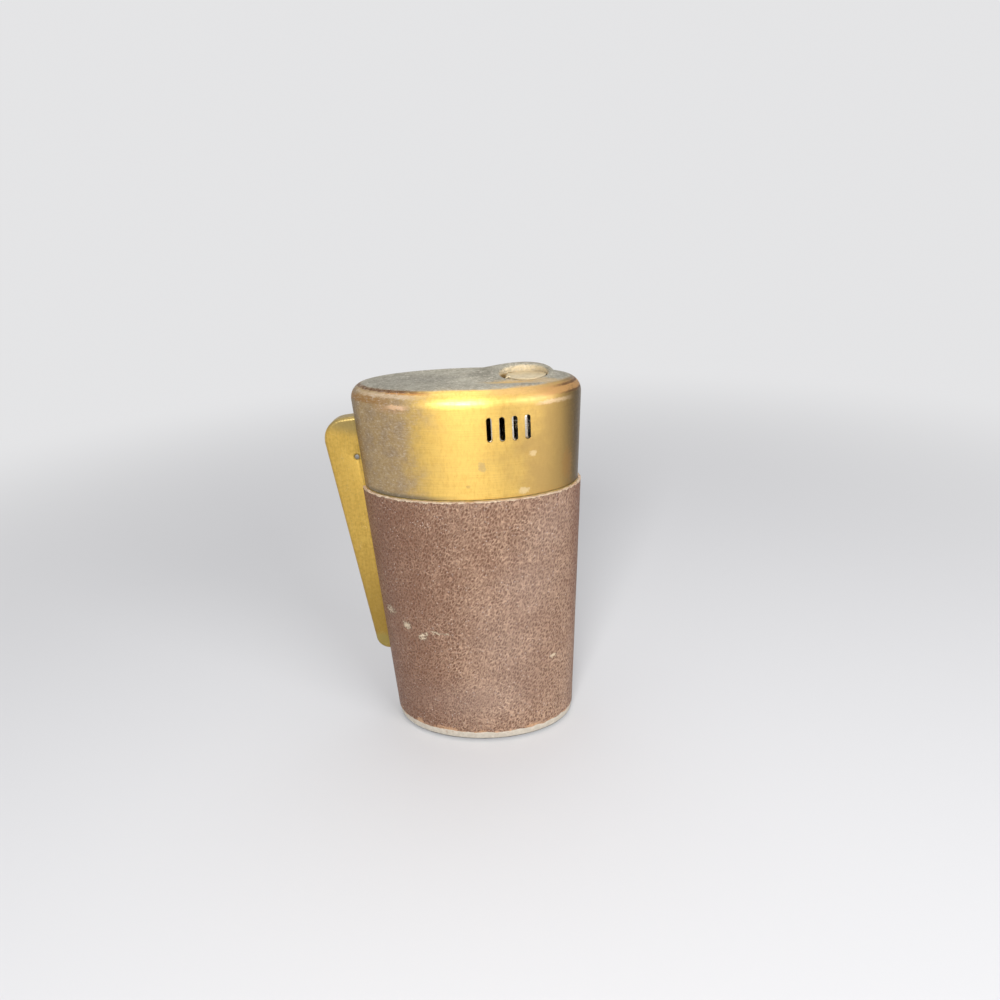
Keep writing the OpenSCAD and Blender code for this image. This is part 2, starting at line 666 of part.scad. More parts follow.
// U-shaped bracket on the tank's top: two cheeks carry the axle and the guide pins
module chassis() color(steel) translate([-axle_x, 0, 0]) difference() {
    union() {
        translate([-chassis_half, -cheek_end, deck_z + skin])
            cube([2 * chassis_half, 2 * cheek_end, chassis_t]);
        for (side = [0, 1]) mirror([0, side, 0]) {
            translate([-chassis_half, cheek_y, deck_z + skin])
                cube([2 * chassis_half, chassis_t, guide_z + guide_d - deck_z]);
            translate([-cheek_r, cheek_y, deck_z + skin])
                cube([2 * cheek_r, chassis_t, axle_z - deck_z - skin]);
            translate([0, 0, axle_z]) bar_y(2 * cheek_r, cheek_y, cheek_end);
        }
    }
    translate([0, 0, deck_z - past]) cylinder(r = flint_tube_d / 2 + seat_gap, h = chassis_t + 2 * past);
    translate([0, 0, axle_z]) bar_y(axle_d + 2 * run, -cheek_end - past, cheek_end + past);
    for (side = [-1, 1]) translate([side * guide_gap, 0, guide_z])
        bar_y(guide_d + 2 * press, -cheek_end - past, cheek_end + past);
    screw_places() translate([0, 0, deck_z - past])
        cylinder(r = screw_r + seat_gap, h = chassis_t + 2 * past);
}

module guide_pins() color(steel) for (side = [-1, 1]) translate([side * guide_gap - axle_x, 0, guide_z])
    bar_y(guide_d, -cheek_end - guide_past, cheek_end + guide_past);

// Places of the chassis's four screws, round the flint tube's axis
module screw_places() for (x = [-1, 1], y = [-1, 1])
    translate([x * (chassis_half - screw_in), y * screw_y, 0]) children();

module chassis_screws() color(steel) translate([-axle_x, 0, deck_z]) screw_places() {
    head_foot = chassis_t + 2 * skin;
    translate([0, 0, -tank_lid_t]) cylinder(r = screw_r, h = tank_lid_t + head_foot);
    difference() {
        translate([0, 0, head_foot]) cylinder(r = screw_head_r, h = screw_head_h);
        translate([-2 * screw_head_r, -screw_slit / 2, head_foot + screw_head_h - screw_slit])
            cube([4 * screw_head_r, screw_slit, past]);
    }
}

// ---- Flint ----

module flint_tube() color(brass) translate([-axle_x, 0, tank_foot]) difference() {
    cylinder(d = flint_tube_d, h = tube_top - tank_foot);
    translate([0, 0, -past]) cylinder(r = flint_bore, h = tube_top);
}

module flint() color(steel) translate([-axle_x, 0, flint_top - flint_l]) cylinder(d = flint_d, h = flint_l);

module flint_spring() color(steel) translate([-axle_x, 0, screw_l + seat_gap])
    coil((flint_d - feed_wire) / 2 - 0.15, feed_wire, flint_top - flint_l - screw_l - 2 * seat_gap,
        feed_turns);

// A slotted screw from below: its head in the base plate's counterbore, its shank up to z = top
module slotted_screw(x, head_r, head_h, d, top) translate([x, 0, head_z]) difference() {
    union() {
        cylinder(r = head_r, h = head_h);
        cylinder(d = d, h = top - head_z);
    }
    translate([-head_r - past, -slit_w / 2, -past]) cube([2 * head_r + 2 * past, slit_w, past + slit_h]);
}

module flint_screw() color(brass) slotted_screw(-axle_x, flint_head_r, flint_head_h, flint_d, screw_l);

// ---- Tank ----

module tank_shell() color(tin) difference() {
    tank_form(tank_foot, deck_z - tank_lid_t, tank_inset, tank_left);
    tank_form(tank_foot + tank_wall, deck_z, tank_inset + tank_wall, tank_left - tank_wall);
    translate([-axle_x, 0, 0]) cylinder(d = flint_tube_d + 2 * skin, h = deck_z / 2);
    translate([filler_x, 0, 0]) cylinder(r = filler_d / 2 + bush_t + skin, h = deck_z / 2);
}

module tank_top() color(tin) difference() {
    tank_form(deck_z - tank_lid_t + skin, deck_z, tank_inset, tank_left);
    translate([-axle_x, 0, 0]) cylinder(d = flint_tube_d + 2 * skin, h = height);
    translate([burner_x, 0, 0]) cylinder(d = neck_d + 2 * skin, h = height);
    translate([-axle_x, 0, 0]) screw_places() cylinder(r = screw_r + skin, h = height);
}

module tank_wadding() color(cotton) difference() {
    tank_form(wadding_z, deck_z - wadding_drop, tank_inset + tank_wall + wadding_gap,
        tank_left - tank_wall - wadding_gap);
    translate([-axle_x, 0, 0]) cylinder(r = flint_tube_d / 2 + wadding_gap, h = height);
    translate([burner_x, 0, wick_foot - wadding_gap]) cylinder(d = neck_d - 2 * neck_t, h = height);
}

module filler_bush() color(brass) translate([filler_x, 0, tank_foot]) difference() {
    cylinder(r = filler_d / 2 + bush_t, h = plug_l);
    translate([0, 0, -past]) cylinder(r = filler_d / 2 + run, h = plug_l + 2 * past);
}

module filler_washer() color(rubber) translate([filler_x, 0, head_z + filler_head_h + run]) difference() {
    cylinder(r = filler_head_r - 0.1, h = washer_t);
    translate([0, 0, -past]) cylinder(r = filler_d / 2 + run, h = washer_t + 2 * past);
}

module filler_plug() color(brass)
    slotted_screw(filler_x, filler_head_r, filler_head_h, filler_d, tank_foot + plug_l);

// ---- Burner ----

module burner_neck() color(brass) translate([burner_x, 0, deck_z]) difference() {
    union() {
        translate([0, 0, -neck_dip]) cylinder(d = neck_d, h = neck_top - deck_z + neck_dip);
        translate([0, 0, skin]) cylinder(r = neck_d / 2 + neck_rim, h = neck_flange);
    }
    translate([0, 0, -neck_dip - past]) cylinder(d = neck_d - 2 * neck_t, h = height);
}

module wick_plug() color(cotton) translate([burner_x, 0, wick_foot])
    cylinder(d = neck_d - 2 * neck_t - mat_gap, h = neck_top - wick_foot);

// Cup that pushes down over the neck and carries the catalyst. It narrows to rest on the neck's end.
module burner_cup() color(steel) translate([burner_x, 0, cage_z]) rotate_extrude() polygon(let (
    bore = neck_d / 2 + slip, low = deck_z + neck_flange + free - cage_z, top = neck_top - cage_z) [
    [bore, low], [bore + cup_t, low], [bore + cup_t, -cup_throat], [burner_d / 2, -cup_dish],
    [burner_d / 2, 0], [burner_d / 2 - cup_t, 0], [burner_d / 2 - cup_t, -cup_dish + cup_t / 2],
    [neck_d / 2 - neck_t, top + 2 * mat_gap], [bore - cup_t, top + seat_gap], [bore, top]]);

module catalyst_mat() color(rubber) translate([burner_x, 0, cage_z - mat_dip])
    cylinder(d = burner_d - 2 * cup_t - 2 * mat_gap, h = gauze_z - 2 * mat_gap - cage_z + mat_dip);

// Perforated basket over the catalyst
module burner_cage() color(steel) translate([burner_x, 0, cage_z + skin]) difference() {
    cylinder(d = burner_d, h = cage_h);
    translate([0, 0, -past]) cylinder(d = burner_d - 2 * cage_t, h = cage_h - cage_t + past);
    translate([0, 0, cage_h - past]) cylinder(d = burner_d - 2 * cage_lip, h = 2 * past);
    for (row = [0:3], k = [0:cage_around - 1]) translate([0, 0, cage_first + row * cage_row])
        rotate([0, 90, (k + (row % 2) / 2) * 360 / cage_around])
            translate([0, 0, burner_d / 2 - 2 * cage_t]) cylinder(d = cage_hole_d, h = 4 * cage_t, $fn = 24);
}

// Two crossed layers of wire under the basket's rim
module burner_gauze() color(steel) translate([burner_x, 0, gauze_z]) {
    difference() {
        cylinder(r = gauze_r, h = 2 * gauze_wire);
        translate([0, 0, -past]) cylinder(r = gauze_r - gauze_rim, h = 2 * gauze_wire + 2 * past);
    }
    last = floor((gauze_r - gauze_rim) / gauze_pitch);
    for (i = [-last:last]) let (half = sqrt(pow(gauze_r - gauze_rim / 2, 2) - pow(i * gauze_pitch, 2))) {
        translate([-half, i * gauze_pitch - gauze_wire / 2, 0]) cube([2 * half, gauze_wire, gauze_wire]);
        translate([i * gauze_pitch - gauze_wire / 2, -half, gauze_wire])
            cube([gauze_wire, 2 * half, gauze_wire]);
    }
}

case_shell();
leather_wrap();
base_rim();
base_plate();
cap_collar();
cap_shell();
wind_shield();
chimney_lid();
lid_pin();
lever();
link_pin();
pivot_pin();
pivot_sleeve();
pivot_bracket();
return_spring();
spring_seat();
rack_yoke();
spark_wheel();
pinions();
igniter_axle();
wave_washers();
axle_clips();
chassis();
guide_pins();
chassis_screws();
flint_tube();
flint();
flint_spring();
flint_screw();
tank_shell();
tank_top();
tank_wadding();
burner_neck();
wick_plug();
burner_cup();
catalyst_mat();
burner_cage();
burner_gauze();
filler_bush();
filler_washer();
filler_plug();
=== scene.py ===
import bpy
import bmesh
import json
import math
import random
from mathutils import Matrix, Vector, noise


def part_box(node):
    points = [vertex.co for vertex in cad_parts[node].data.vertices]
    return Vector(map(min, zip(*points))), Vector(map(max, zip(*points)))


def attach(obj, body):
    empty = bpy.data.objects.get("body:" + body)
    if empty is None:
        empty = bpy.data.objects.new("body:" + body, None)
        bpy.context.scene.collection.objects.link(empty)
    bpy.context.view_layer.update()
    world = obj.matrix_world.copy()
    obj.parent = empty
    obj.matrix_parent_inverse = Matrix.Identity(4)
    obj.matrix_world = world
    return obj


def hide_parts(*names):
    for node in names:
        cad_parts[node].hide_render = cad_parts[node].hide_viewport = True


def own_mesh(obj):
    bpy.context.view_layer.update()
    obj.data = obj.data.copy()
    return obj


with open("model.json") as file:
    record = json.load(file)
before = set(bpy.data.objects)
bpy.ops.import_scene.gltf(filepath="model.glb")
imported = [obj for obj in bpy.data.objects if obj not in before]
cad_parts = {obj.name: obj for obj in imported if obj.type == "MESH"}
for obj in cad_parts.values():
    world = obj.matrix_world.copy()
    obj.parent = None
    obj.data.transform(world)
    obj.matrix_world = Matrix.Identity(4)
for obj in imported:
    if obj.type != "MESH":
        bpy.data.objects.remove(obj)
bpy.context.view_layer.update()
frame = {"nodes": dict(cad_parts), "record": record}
mm = 0.001
record = frame["record"]
slotOf = {part["node"]: part["material_slot"] for part in record["subparts"]}
bodyOf = {node: body for body, nodes in record["behaviour"]["bodies"].items() for node in nodes}
print("warmer loaded:", len(frame["nodes"]), "nodes")

cameraSet = {
    "place": (0.02121, -0.18427, 0.14908),
    "turn": 4.14,  # degrees to the left of straight ahead
    "dip": 22.76,
    "roll": 2.85,
    "lens": 25.385,
}
floorSet = {
    "radius": 6.0,
    "sides": 96,
    "drop": 0.0003,  # how far it lies under the foot
    "colour": (0.66, 0.66, 0.67),
    "fade": (0.14, 0.5),  # metres from the middle where its fading starts and ends
    "pale": (0.78, 0.78, 0.79),
}
lampSet = {
    "key": {"place": (-0.06, -0.52, 0.36), "size": 0.16, "power": 2.6, "aim": (0, 0, 0.07)},
    "fill": {"place": (0.42, -0.40, 0.30), "size": 0.35, "power": 2.2, "aim": (0, 0, 0.05)},
    "over": {"place": (0.0, 0.15, 0.80), "size": 0.70, "power": 2.2, "aim": (0, 0, 0.05)},
}
worldLight = (0.34, 0.34, 0.35)


def aimAt(thing, point):
    thing.rotation_euler = (Vector(point) - thing.location).to_track_quat("-Z", "Y").to_euler()


def makeCamera():
    eye = bpy.data.cameras.new("eye")
    eye.lens = cameraSet["lens"]
    eye.sensor_width = 36
    eye.clip_start = 0.01
    camera = bpy.data.objects.new("eye", eye)
    bpy.context.scene.collection.objects.link(camera)
    turned = (
        Matrix.Rotation(math.radians(cameraSet["turn"]), 4, "Z")
        @ Matrix.Rotation(math.radians(90 - cameraSet["dip"]), 4, "X")
        @ Matrix.Rotation(math.radians(-cameraSet["roll"]), 4, "Z")
    )
    camera.matrix_world = Matrix.Translation(cameraSet["place"]) @ turned
    bpy.context.scene.camera = camera


def seenDirectly(tree):
    # 1 where the camera, a reflection or a clear part looks at the room
    path = addNode(tree, "LightPath", {}).outputs
    seen = larger(path["Is Camera Ray"], path["Is Glossy Ray"])
    return larger(seen, path["Is Transmission Ray"])


def makeRoom():
    # a wide round floor that fades into the pale background, so it has no edge from any side
    bm = bmesh.new()
    bmesh.ops.create_circle(bm, segments=floorSet["sides"], radius=floorSet["radius"], cap_ends=True)
    bmesh.ops.translate(bm, verts=bm.verts, vec=(0, 0, -floorSet["drop"]))
    room = objectFrom(bm, "room")
    paper = bpy.data.materials.new("paper")
    paper.use_nodes = True
    tree = paper.node_tree
    place = addNode(tree, "TexCoord", {}).outputs["Object"]
    far = eased(lengthOf(place), *floorSet["fade"])
    fill(tree.nodes["Principled BSDF"], {
        "Base Color": painted(far, floorSet["colour"], (0.0, 0.0, 0.0)),
        "Roughness": 0.6,
        "Specular IOR Level": 0.0,
        "Emission Color": (*floorSet["pale"], 1),
        "Emission Strength": times(far, seenDirectly(tree)),
    })
    room.data.materials.append(paper)


def makeLights():
    for name, lamp in lampSet.items():
        data = bpy.data.lights.new(name, "AREA")
        data.energy = lamp["power"]
        data.size = lamp["size"]
        light = bpy.data.objects.new(name, data)
        bpy.context.scene.collection.objects.link(light)
        light.location = lamp["place"]
        aimAt(light, lamp["aim"])
    world = bpy.data.worlds.new("studio")
    world.use_nodes = True
    tree = world.node_tree
    colour = painted(seenDirectly(tree), worldLight, floorSet["pale"])
    tree.links.new(colour, tree.nodes["Background"].inputs["Color"])
    bpy.context.scene.world = world
    bpy.context.scene.view_settings.view_transform = "Standard"


def fill(node, sockets):
    # links what is a socket and sets what is a plain value
    for key, value in sockets.items():
        if isinstance(value, bpy.types.NodeSocket):
            node.id_data.links.new(value, node.inputs[key])
        else:
            node.inputs[key].default_value = value
    return node


def addNode(tree, kind, sockets, **settings):
    node = tree.nodes.new("ShaderNode" + kind)
    for key, value in settings.items():
        setattr(node, key, value)
    return fill(node, sockets)


def nodeFrom(kind, sockets, **settings):
    # adds a node to the tree that its incoming sockets belong to
    tree = next(value.id_data for value in sockets.values() if isinstance(value, bpy.types.NodeSocket))
    return addNode(tree, kind, sockets, **settings)


def calc(operation, *values):
    return nodeFrom("Math", dict(enumerate(values)), operation=operation).outputs[0]


def times(a, b):
    return calc("MULTIPLY", a, b)


def plus(a, b):
    return calc("ADD", a, b)


def larger(a, b):
    return calc("MAXIMUM", a, b)


def eased(value, low, high, toLow=0.0, toHigh=1.0):
    sockets = {"Value": value, "From Min": low, "From Max": high, "To Min": toLow, "To Max": toHigh}
    return nodeFrom("MapRange", sockets, interpolation_type="SMOOTHSTEP").outputs["Result"]


def painted(share, under, over):
    # one colour laid over another, as far as the share goes
    sockets = {0: share}
    for key, colour in ((6, under), (7, over)):
        sockets[key] = (*colour, 1) if isinstance(colour, tuple) else colour
    return nodeFrom("Mix", sockets, data_type="RGBA").outputs[2]


def laid(colour, mask, strength, over):
    # lays one more colour on, where its mask is
    return painted(times(mask, strength), colour, over)


def vectorCalc(operation, a, b):
    return nodeFrom("VectorMath", {0: a, 1: b}, operation=operation).outputs[0]


def lengthOf(vector):
    return nodeFrom("VectorMath", {0: vector}, operation="LENGTH").outputs["Value"]


def farFrom(place, centre, reach):
    # distance from a centre, counted in its own half sizes
    return lengthOf(vectorCalc("DIVIDE", vectorCalc("SUBTRACT", place, centre), reach))


def cloud(place, scale, detail=3.0, rough=0.55):
    sockets = {"Vector": place, "Scale": scale, "Detail": detail, "Roughness": rough}
    return nodeFrom("TexNoise", sockets).outputs[0]


def drawnCloud(place, stretch, detail, rough):
    # a cloud with its own scale along each axis
    return cloud(vectorCalc("MULTIPLY", place, stretch), 1.0, detail, rough)


def driftCloud(place, scale, detail, rough, spread):
    # a cloud whose values run from minus to plus half of the spread
    return calc("MULTIPLY_ADD", cloud(place, scale, detail, rough), spread, -spread / 2)


def cellEdges(place, scale, **sockets):
    given = {"Vector": place, "Scale": scale, **sockets}
    return nodeFrom("TexVoronoi", given, feature="DISTANCE_TO_EDGE").outputs["Distance"]


def makeGroup(name, inputs, outputs):
    tree = bpy.data.node_groups.new(name, "ShaderNodeTree")
    for label, start in inputs.items():
        kind = "NodeSocketVector" if isinstance(start, tuple) else "NodeSocketFloat"
        tree.interface.new_socket(name=label, in_out="INPUT", socket_type=kind).default_value = start
    for label in outputs:
        tree.interface.new_socket(name=label, in_out="OUTPUT", socket_type="NodeSocketFloat")
    return tree, tree.nodes.new("NodeGroupInput").outputs, tree.nodes.new("NodeGroupOutput").inputs


def use(effect, **sockets):
    return nodeFrom("Group", sockets, node_tree=effects[effect]).outputs


def brushed(place, stretch):
    return use("brushing", Place=place, Stretch=stretch)["Line"]


def stained(place, size, cover, edge):
    return use("stain", Place=place, Size=size, Cover=cover, Edge=edge)["Mask"]


def specked(place, size, cover):
    return use("specks", Place=place, Size=size, Cover=cover)["Mask"]


def marked(place, centre, reach, ragged):
    return use("mark", Place=place, Centre=centre, Reach=reach, Ragged=ragged)["Mask"]


def scratched(place, stretch, width):
    return use("scratches", Place=place, Stretch=stretch, Width=width)["Mask"]


def brushingGroup():
    # fine straight lines left by the polishing belt; every length in a material is in millimetres
    tree, given, out = makeGroup("brushing", {"Place": (0, 0, 0), "Stretch": (0.06, 0.06, 6.0)}, ["Line"])
    lines = drawnCloud(given["Place"], given["Stretch"], 4.0, 0.65)
    tree.links.new(eased(lines, 0.3, 0.7), out["Line"])
    return tree


def stainGroup():
    # soft-edged blotches; Cover is the share of the surface
    inputs = {"Place": (0, 0, 0), "Size": 6.0, "Cover": 0.4, "Edge": 0.08}
    tree, given, out = makeGroup("stain", inputs, ["Mask"])
    blot = cloud(given["Place"], calc("DIVIDE", 1.0, given["Size"]), 6.0, 0.62)
    level = calc("MULTIPLY_ADD", given["Cover"], -0.42, 0.71)
    low = calc("SUBTRACT", level, given["Edge"])
    high = plus(level, given["Edge"])
    tree.links.new(eased(blot, low, high), out["Mask"])
    return tree


def speckGroup():
    # small round specks in some of the cells of a loose pattern
    tree, given, out = makeGroup("specks", {"Place": (0, 0, 0), "Size": 0.5, "Cover": 0.3}, ["Mask"])
    sockets = {"Vector": given["Place"], "Scale": calc("DIVIDE", 1.0, given["Size"])}
    cells = nodeFrom("TexVoronoi", sockets).outputs
    chance = nodeFrom("SeparateColor", {0: cells["Color"]}).outputs[0]
    chosen = calc("LESS_THAN", chance, given["Cover"])
    dot = eased(cells["Distance"], 0.36, 0.2)
    tree.links.new(times(dot, chosen), out["Mask"])
    return tree


def markGroup():
    # one ragged mark at a place, with its own half sizes
    inputs = {"Place": (0, 0, 0), "Centre": (0, 0, 0), "Reach": (1.0, 1.0, 1.0), "Ragged": 0.6}
    tree, given, out = makeGroup("mark", inputs, ["Mask"])
    far = farFrom(given["Place"], given["Centre"], given["Reach"])
    torn = calc("SUBTRACT", cloud(given["Place"], 1.6, 4.0, 0.7), 0.5)
    ragged = calc("MULTIPLY_ADD", torn, times(given["Ragged"], 3.0), far)
    tree.links.new(eased(ragged, 1.1, 0.6), out["Mask"])
    return tree


def scratchGroup():
    # thin broken lines that run mostly one way
    inputs = {"Place": (0, 0, 0), "Stretch": (0.12, 0.12, 0.5), "Width": 0.012}
    tree, given, out = makeGroup("scratches", inputs, ["Mask"])
    bent = nodeFrom("TexNoise", {"Vector": given["Place"], "Scale": 0.15, "Detail": 2.0}).outputs["Color"]
    drift = vectorCalc("MULTIPLY", bent, (3.0, 3.0, 3.0))
    lines = vectorCalc("MULTIPLY", vectorCalc("ADD", given["Place"], drift), given["Stretch"])
    thin = eased(cellEdges(lines, 1.0), given["Width"], 0.0)
    broken = eased(cloud(given["Place"], 0.35, 2.0), 0.48, 0.6)
    tree.links.new(times(thin, broken), out["Mask"])
    return tree


def pebbleGroup():
    # leather grain: small pits with broken ridges between them; the finish paints the pits dark, the
    # grain's tone with painted shade in the hollows, and the ridges pale, the grain's tone with a painted
    # highlight
    tree, given, out = makeGroup("pebbles", {"Place": (0, 0, 0), "Size": 1.0}, ["Height", "Ridge"])
    place, size = given["Place"], given["Size"]
    wobble = nodeFrom("TexNoise", {"Vector": place, "Scale": 0.8, "Detail": 3.0}).outputs["Color"]
    bent = vectorCalc("ADD", place, vectorCalc("MULTIPLY", wobble, (0.45, 0.45, 0.45)))
    big = cellEdges(bent, calc("DIVIDE", 1.0, size), Randomness=0.8)
    small = cellEdges(bent, calc("DIVIDE", 1.9, size))
    broken = eased(cloud(place, 1.7, 3.0, 0.65), 0.36, 0.6, 0.35, 1.0)
    ridge = times(eased(big, 0.4, 0.04), broken)
    fold = times(eased(small, 0.2, 0.0), 0.22)
    both = larger(ridge, fold)
    tree.links.new(both, out["Ridge"])
    tree.links.new(calc("MULTIPLY_ADD", cloud(place, 4.5, 2.0), 0.3, both), out["Height"])
    return tree


effects = {
    "brushing": brushingGroup(),
    "stain": stainGroup(),
    "specks": speckGroup(),
    "mark": markGroup(),
    "scratches": scratchGroup(),
    "pebbles": pebbleGroup(),
}
print("effects built:", ", ".join(effects))


def newFinish(name):
    finish = bpy.data.materials.new(name)
    finish.use_nodes = True
    tree = finish.node_tree
    place = addNode(tree, "TexCoord", {}).outputs["Object"]
    inMm = nodeFrom("VectorMath", {0: place, "Scale": 1000.0}, operation="SCALE").outputs[0]
    return finish, tree.nodes["Principled BSDF"], inMm


def setRelief(shader, height, depth):
    bump = nodeFrom("Bump", {"Height": height, "Distance": depth * mm, "Strength": 1.0})
    fill(shader, {"Normal": bump.outputs[0]})


capLook = {
    "bright": (0.80, 0.545, 0.145),
    "deep": (0.56, 0.33, 0.07),
    "grey": (0.30, 0.21, 0.12),
    "greyPale": (0.46, 0.36, 0.24),
    "olive": (0.39, 0.25, 0.085),
    # the colour of the painted shade on the outermost sides of the cap
    "edge": (0.085, 0.055, 0.024),
    "patina": (0.36, 0.34, 0.275),
    "patinaDark": (0.155, 0.14, 0.10),
    "mouthGold": (0.62, 0.50, 0.31),
    "lipGold": (0.60, 0.43, 0.22),
    "dust": (0.70, 0.62, 0.52),
    "brushing": (0.09, 0.09, 7.0),
    "areas": {  # where each tone starts and where it is full, along x or up z
        "left": (-5.0, -17.0),
        "right": (6.0, 22.0),
        "rimRight": (24.5, 30.0),
        "rimLeft": (-26.5, -30.5),
        "top": (106.85, 107.2),
        "foot": (79.9, 78.9),
        "footLeft": (2.0, -14.0),
    },
    "tints": [  # heat tints on the shoulder, and one painted highlight (the pale beige row at 105.6): colour, height, half height, from x, to x, share
        ((0.60, 0.37, 0.13), 106.1, 0.95, 4.0, 24.0, 0.7),
        # a painted highlight: the pale beige band under the dark line on the left shoulder
        ((0.66, 0.50, 0.34), 105.6, 0.6, -30.0, -7.0, 0.7),
        ((0.50, 0.235, 0.07), 106.25, 0.38, -22.0, -5.0, 0.85),
        ((0.13, 0.06, 0.022), 106.58, 0.32, -36.0, -5.0, 1.0),
        ((0.33, 0.17, 0.05), 104.4, 1.15, -36.0, -15.0, 0.85),
        ((0.50, 0.29, 0.14), 102.6, 1.3, -24.0, -12.0, 0.45),
        ((0.74, 0.48, 0.28), 103.1, 0.8, -20.0, -12.0, 0.9),
        ((0.50, 0.27, 0.10), 105.3, 1.5, 16.0, 38.0, 0.85),
        ((0.76, 0.56, 0.35), 102.8, 0.7, 18.0, 29.0, 0.6),
        ((0.12, 0.055, 0.02), 106.05, 0.3, 22.0, 36.0, 0.9),
        ((0.12, 0.055, 0.02), 104.25, 0.32, 24.0, 36.0, 0.9),
    ],
    "smudges": [  # colour, centre, half sizes
        ((0.33, 0.26, 0.16), (4.9, -16.0, 87.5), (1.1, 3, 1.7)),
        ((0.78, 0.64, 0.40), (15.3, -14.0, 80.1), (1.6, 3, 1.0)),
        ((0.76, 0.60, 0.36), (17.9, -13.1, 89.9), (0.9, 3, 0.9)),
        ((0.36, 0.22, 0.08), (1.0, -16.2, 82.2), (0.6, 3, 0.5)),
        ((0.42, 0.215, 0.06), (26.7, -7.5, 84.6), (1.6, 4, 5.0)),
    ],
}


def capFinish():
    finish, shader, place = newFinish("capBrass")
    look, areas = capLook, capLook["areas"]
    x, y, z = nodeFrom("SeparateXYZ", {0: place}).outputs
    slow = cloud(place, 0.11, 4.0, 0.6)
    xDrift = plus(x, calc("MULTIPLY_ADD", slow, 22.0, -11.0))
    left, right = eased(xDrift, *areas["left"]), eased(xDrift, *areas["right"])
    top = eased(calc("MULTIPLY_ADD", slow, 0.5, z), *areas["top"])
    line = brushed(place, look["brushing"])
    blotch = stained(place, size=3.5, cover=0.45, edge=0.2)
    fine = stained(place, size=0.7, cover=0.4, edge=0.16)
    mottle = eased(drawnCloud(place, (1.3, 1.3, 0.55), 5.0, 0.72), 0.42, 0.68)

    wear = plus(times(line, 0.42), times(mottle, 0.42))
    colour = painted(wear, look["bright"], look["deep"])
    # the left turns grey-brown and the right olive: tarnish in part, and in part painted shade on the sides
    # that turn away from the light
    grey = painted(times(fine, 0.55), look["grey"], look["greyPale"])
    colour = laid(colour, left, eased(blotch, 0.0, 1.0, 0.8, 0.97), grey)
    colour = laid(colour, right, 0.9, look["olive"])
    # painted shade: the outermost left and right sides darken to a near-black brown
    rimRight = eased(x, *areas["rimRight"])
    colour = laid(colour, rimRight, eased(fine, 0, 1, 0.9, 0.78), look["edge"])
    colour = laid(colour, eased(x, *areas["rimLeft"]), 0.5, look["edge"])

    # grey-green patina on the flat, worn golden in front of the mouth and inside it
    flat = painted(times(plus(fine, blotch), 0.5), look["patina"], look["patinaDark"])
    front = marked(place, centre=(17.5, -5.6, 107.0), reach=(9.0, 3.0, 2.0), ragged=0.3)
    flat = laid(flat, front, 0.65, look["lipGold"])
    away = farFrom(place, (15.8, 1.2, 106), (6.3, 5.1, 99.0))
    inside = eased(calc("MULTIPLY_ADD", fine, 0.05, away), 1.1, 1.0)
    flat = laid(flat, inside, 0.9, look["mouthGold"])
    colour = painted(larger(top, inside), colour, flat)

    ragged = driftCloud(place, 0.8, 5.0, 0.78, 3.2)
    thin = eased(drawnCloud(place, (0.8, 0.8, 2.2), 5.0, 0.75), 0.36, 0.5, 0.3, 1.0)
    # bands round the shoulder: heat tints, and the one pale beige band that is a painted highlight
    tintedAndHighlit = 0.0
    for bandTone, height, half, start, stop, strength in look["tints"]:
        shift = times(ragged, min(half, 0.8) * 0.7)
        off = calc("ABSOLUTE", calc("SUBTRACT", plus(z, shift), height))
        fade = (stop - start) * 0.35
        ends = times(eased(x, start, start + fade), eased(x, stop, stop - fade))
        share = times(times(eased(off, half, half * 0.4), ends), strength)
        share = times(share, thin)
        colour = painted(share, colour, bandTone)
        tintedAndHighlit = larger(tintedAndHighlit, share)
    lowLine = times(eased(z, *areas["foot"]), eased(x, *areas["footLeft"]))
    colour = laid(colour, lowLine, 0.7, look["patinaDark"])
    fleck = eased(drawnCloud(place, (0.9, 0.9, 2.4), 6.0, 0.85), 0.52, 0.63)
    colour = laid(colour, times(fleck, larger(left, top)), 0.5, look["dust"])
    for tone, centre, reach in look["smudges"]:
        mask = marked(place, centre, reach, ragged=0.75)
        colour = laid(colour, mask, 0.45, tone)

    matt = larger(times(left, 0.6), times(tintedAndHighlit, 0.75))
    matt = larger(matt, top)
    fill(shader, {
        "Base Color": colour,
        "Metallic": eased(matt, 0.0, 1.0, 1.0, 0.45),
        "Roughness": plus(eased(matt, 0.0, 1.0, 0.38, 0.58), times(wear, 0.16)),
        "Coat Weight": eased(matt, 0.0, 0.7, 0.25, 0.0),
        "Coat Roughness": 0.25,
        "Anisotropic": 0.6,
        "Anisotropic Rotation": 0.25,
    })
    dents = times(cloud(place, 0.25, 2.0), 1.6)
    grit = times(times(fine, matt), 0.35)
    setRelief(shader, plus(times(line, 0.22), plus(dents, grit)), 0.045)
    return finish


leverLook = {
    "bright": (0.66, 0.43, 0.10),
    "mottle": (0.42, 0.265, 0.052),
    "olive": (0.27, 0.215, 0.095),
    "low": (0.32, 0.20, 0.042),
    "scratch": (0.86, 0.68, 0.32),
    "brushing": (4.5, 4.5, 0.12),
    "topEdge": (83.5, 87.5),  # heights between which the olive top comes in
    "lower": (66.0, 30.0),  # and the darker lower part
    "marks": [  # colour, centre, half sizes: near the top, at the foot, round the pin's end
        ((0.78, 0.66, 0.42), (-40.5, -2.5, 92.0), (1.6, 4, 1.5)),
        ((0.36, 0.29, 0.09), (-30.5, -2.5, 26.5), (3.5, 5, 3.0)),
        ((0.10, 0.075, 0.03), (-30.9, -2.5, 86.5), (1.15, 3, 1.15)),
    ],
}


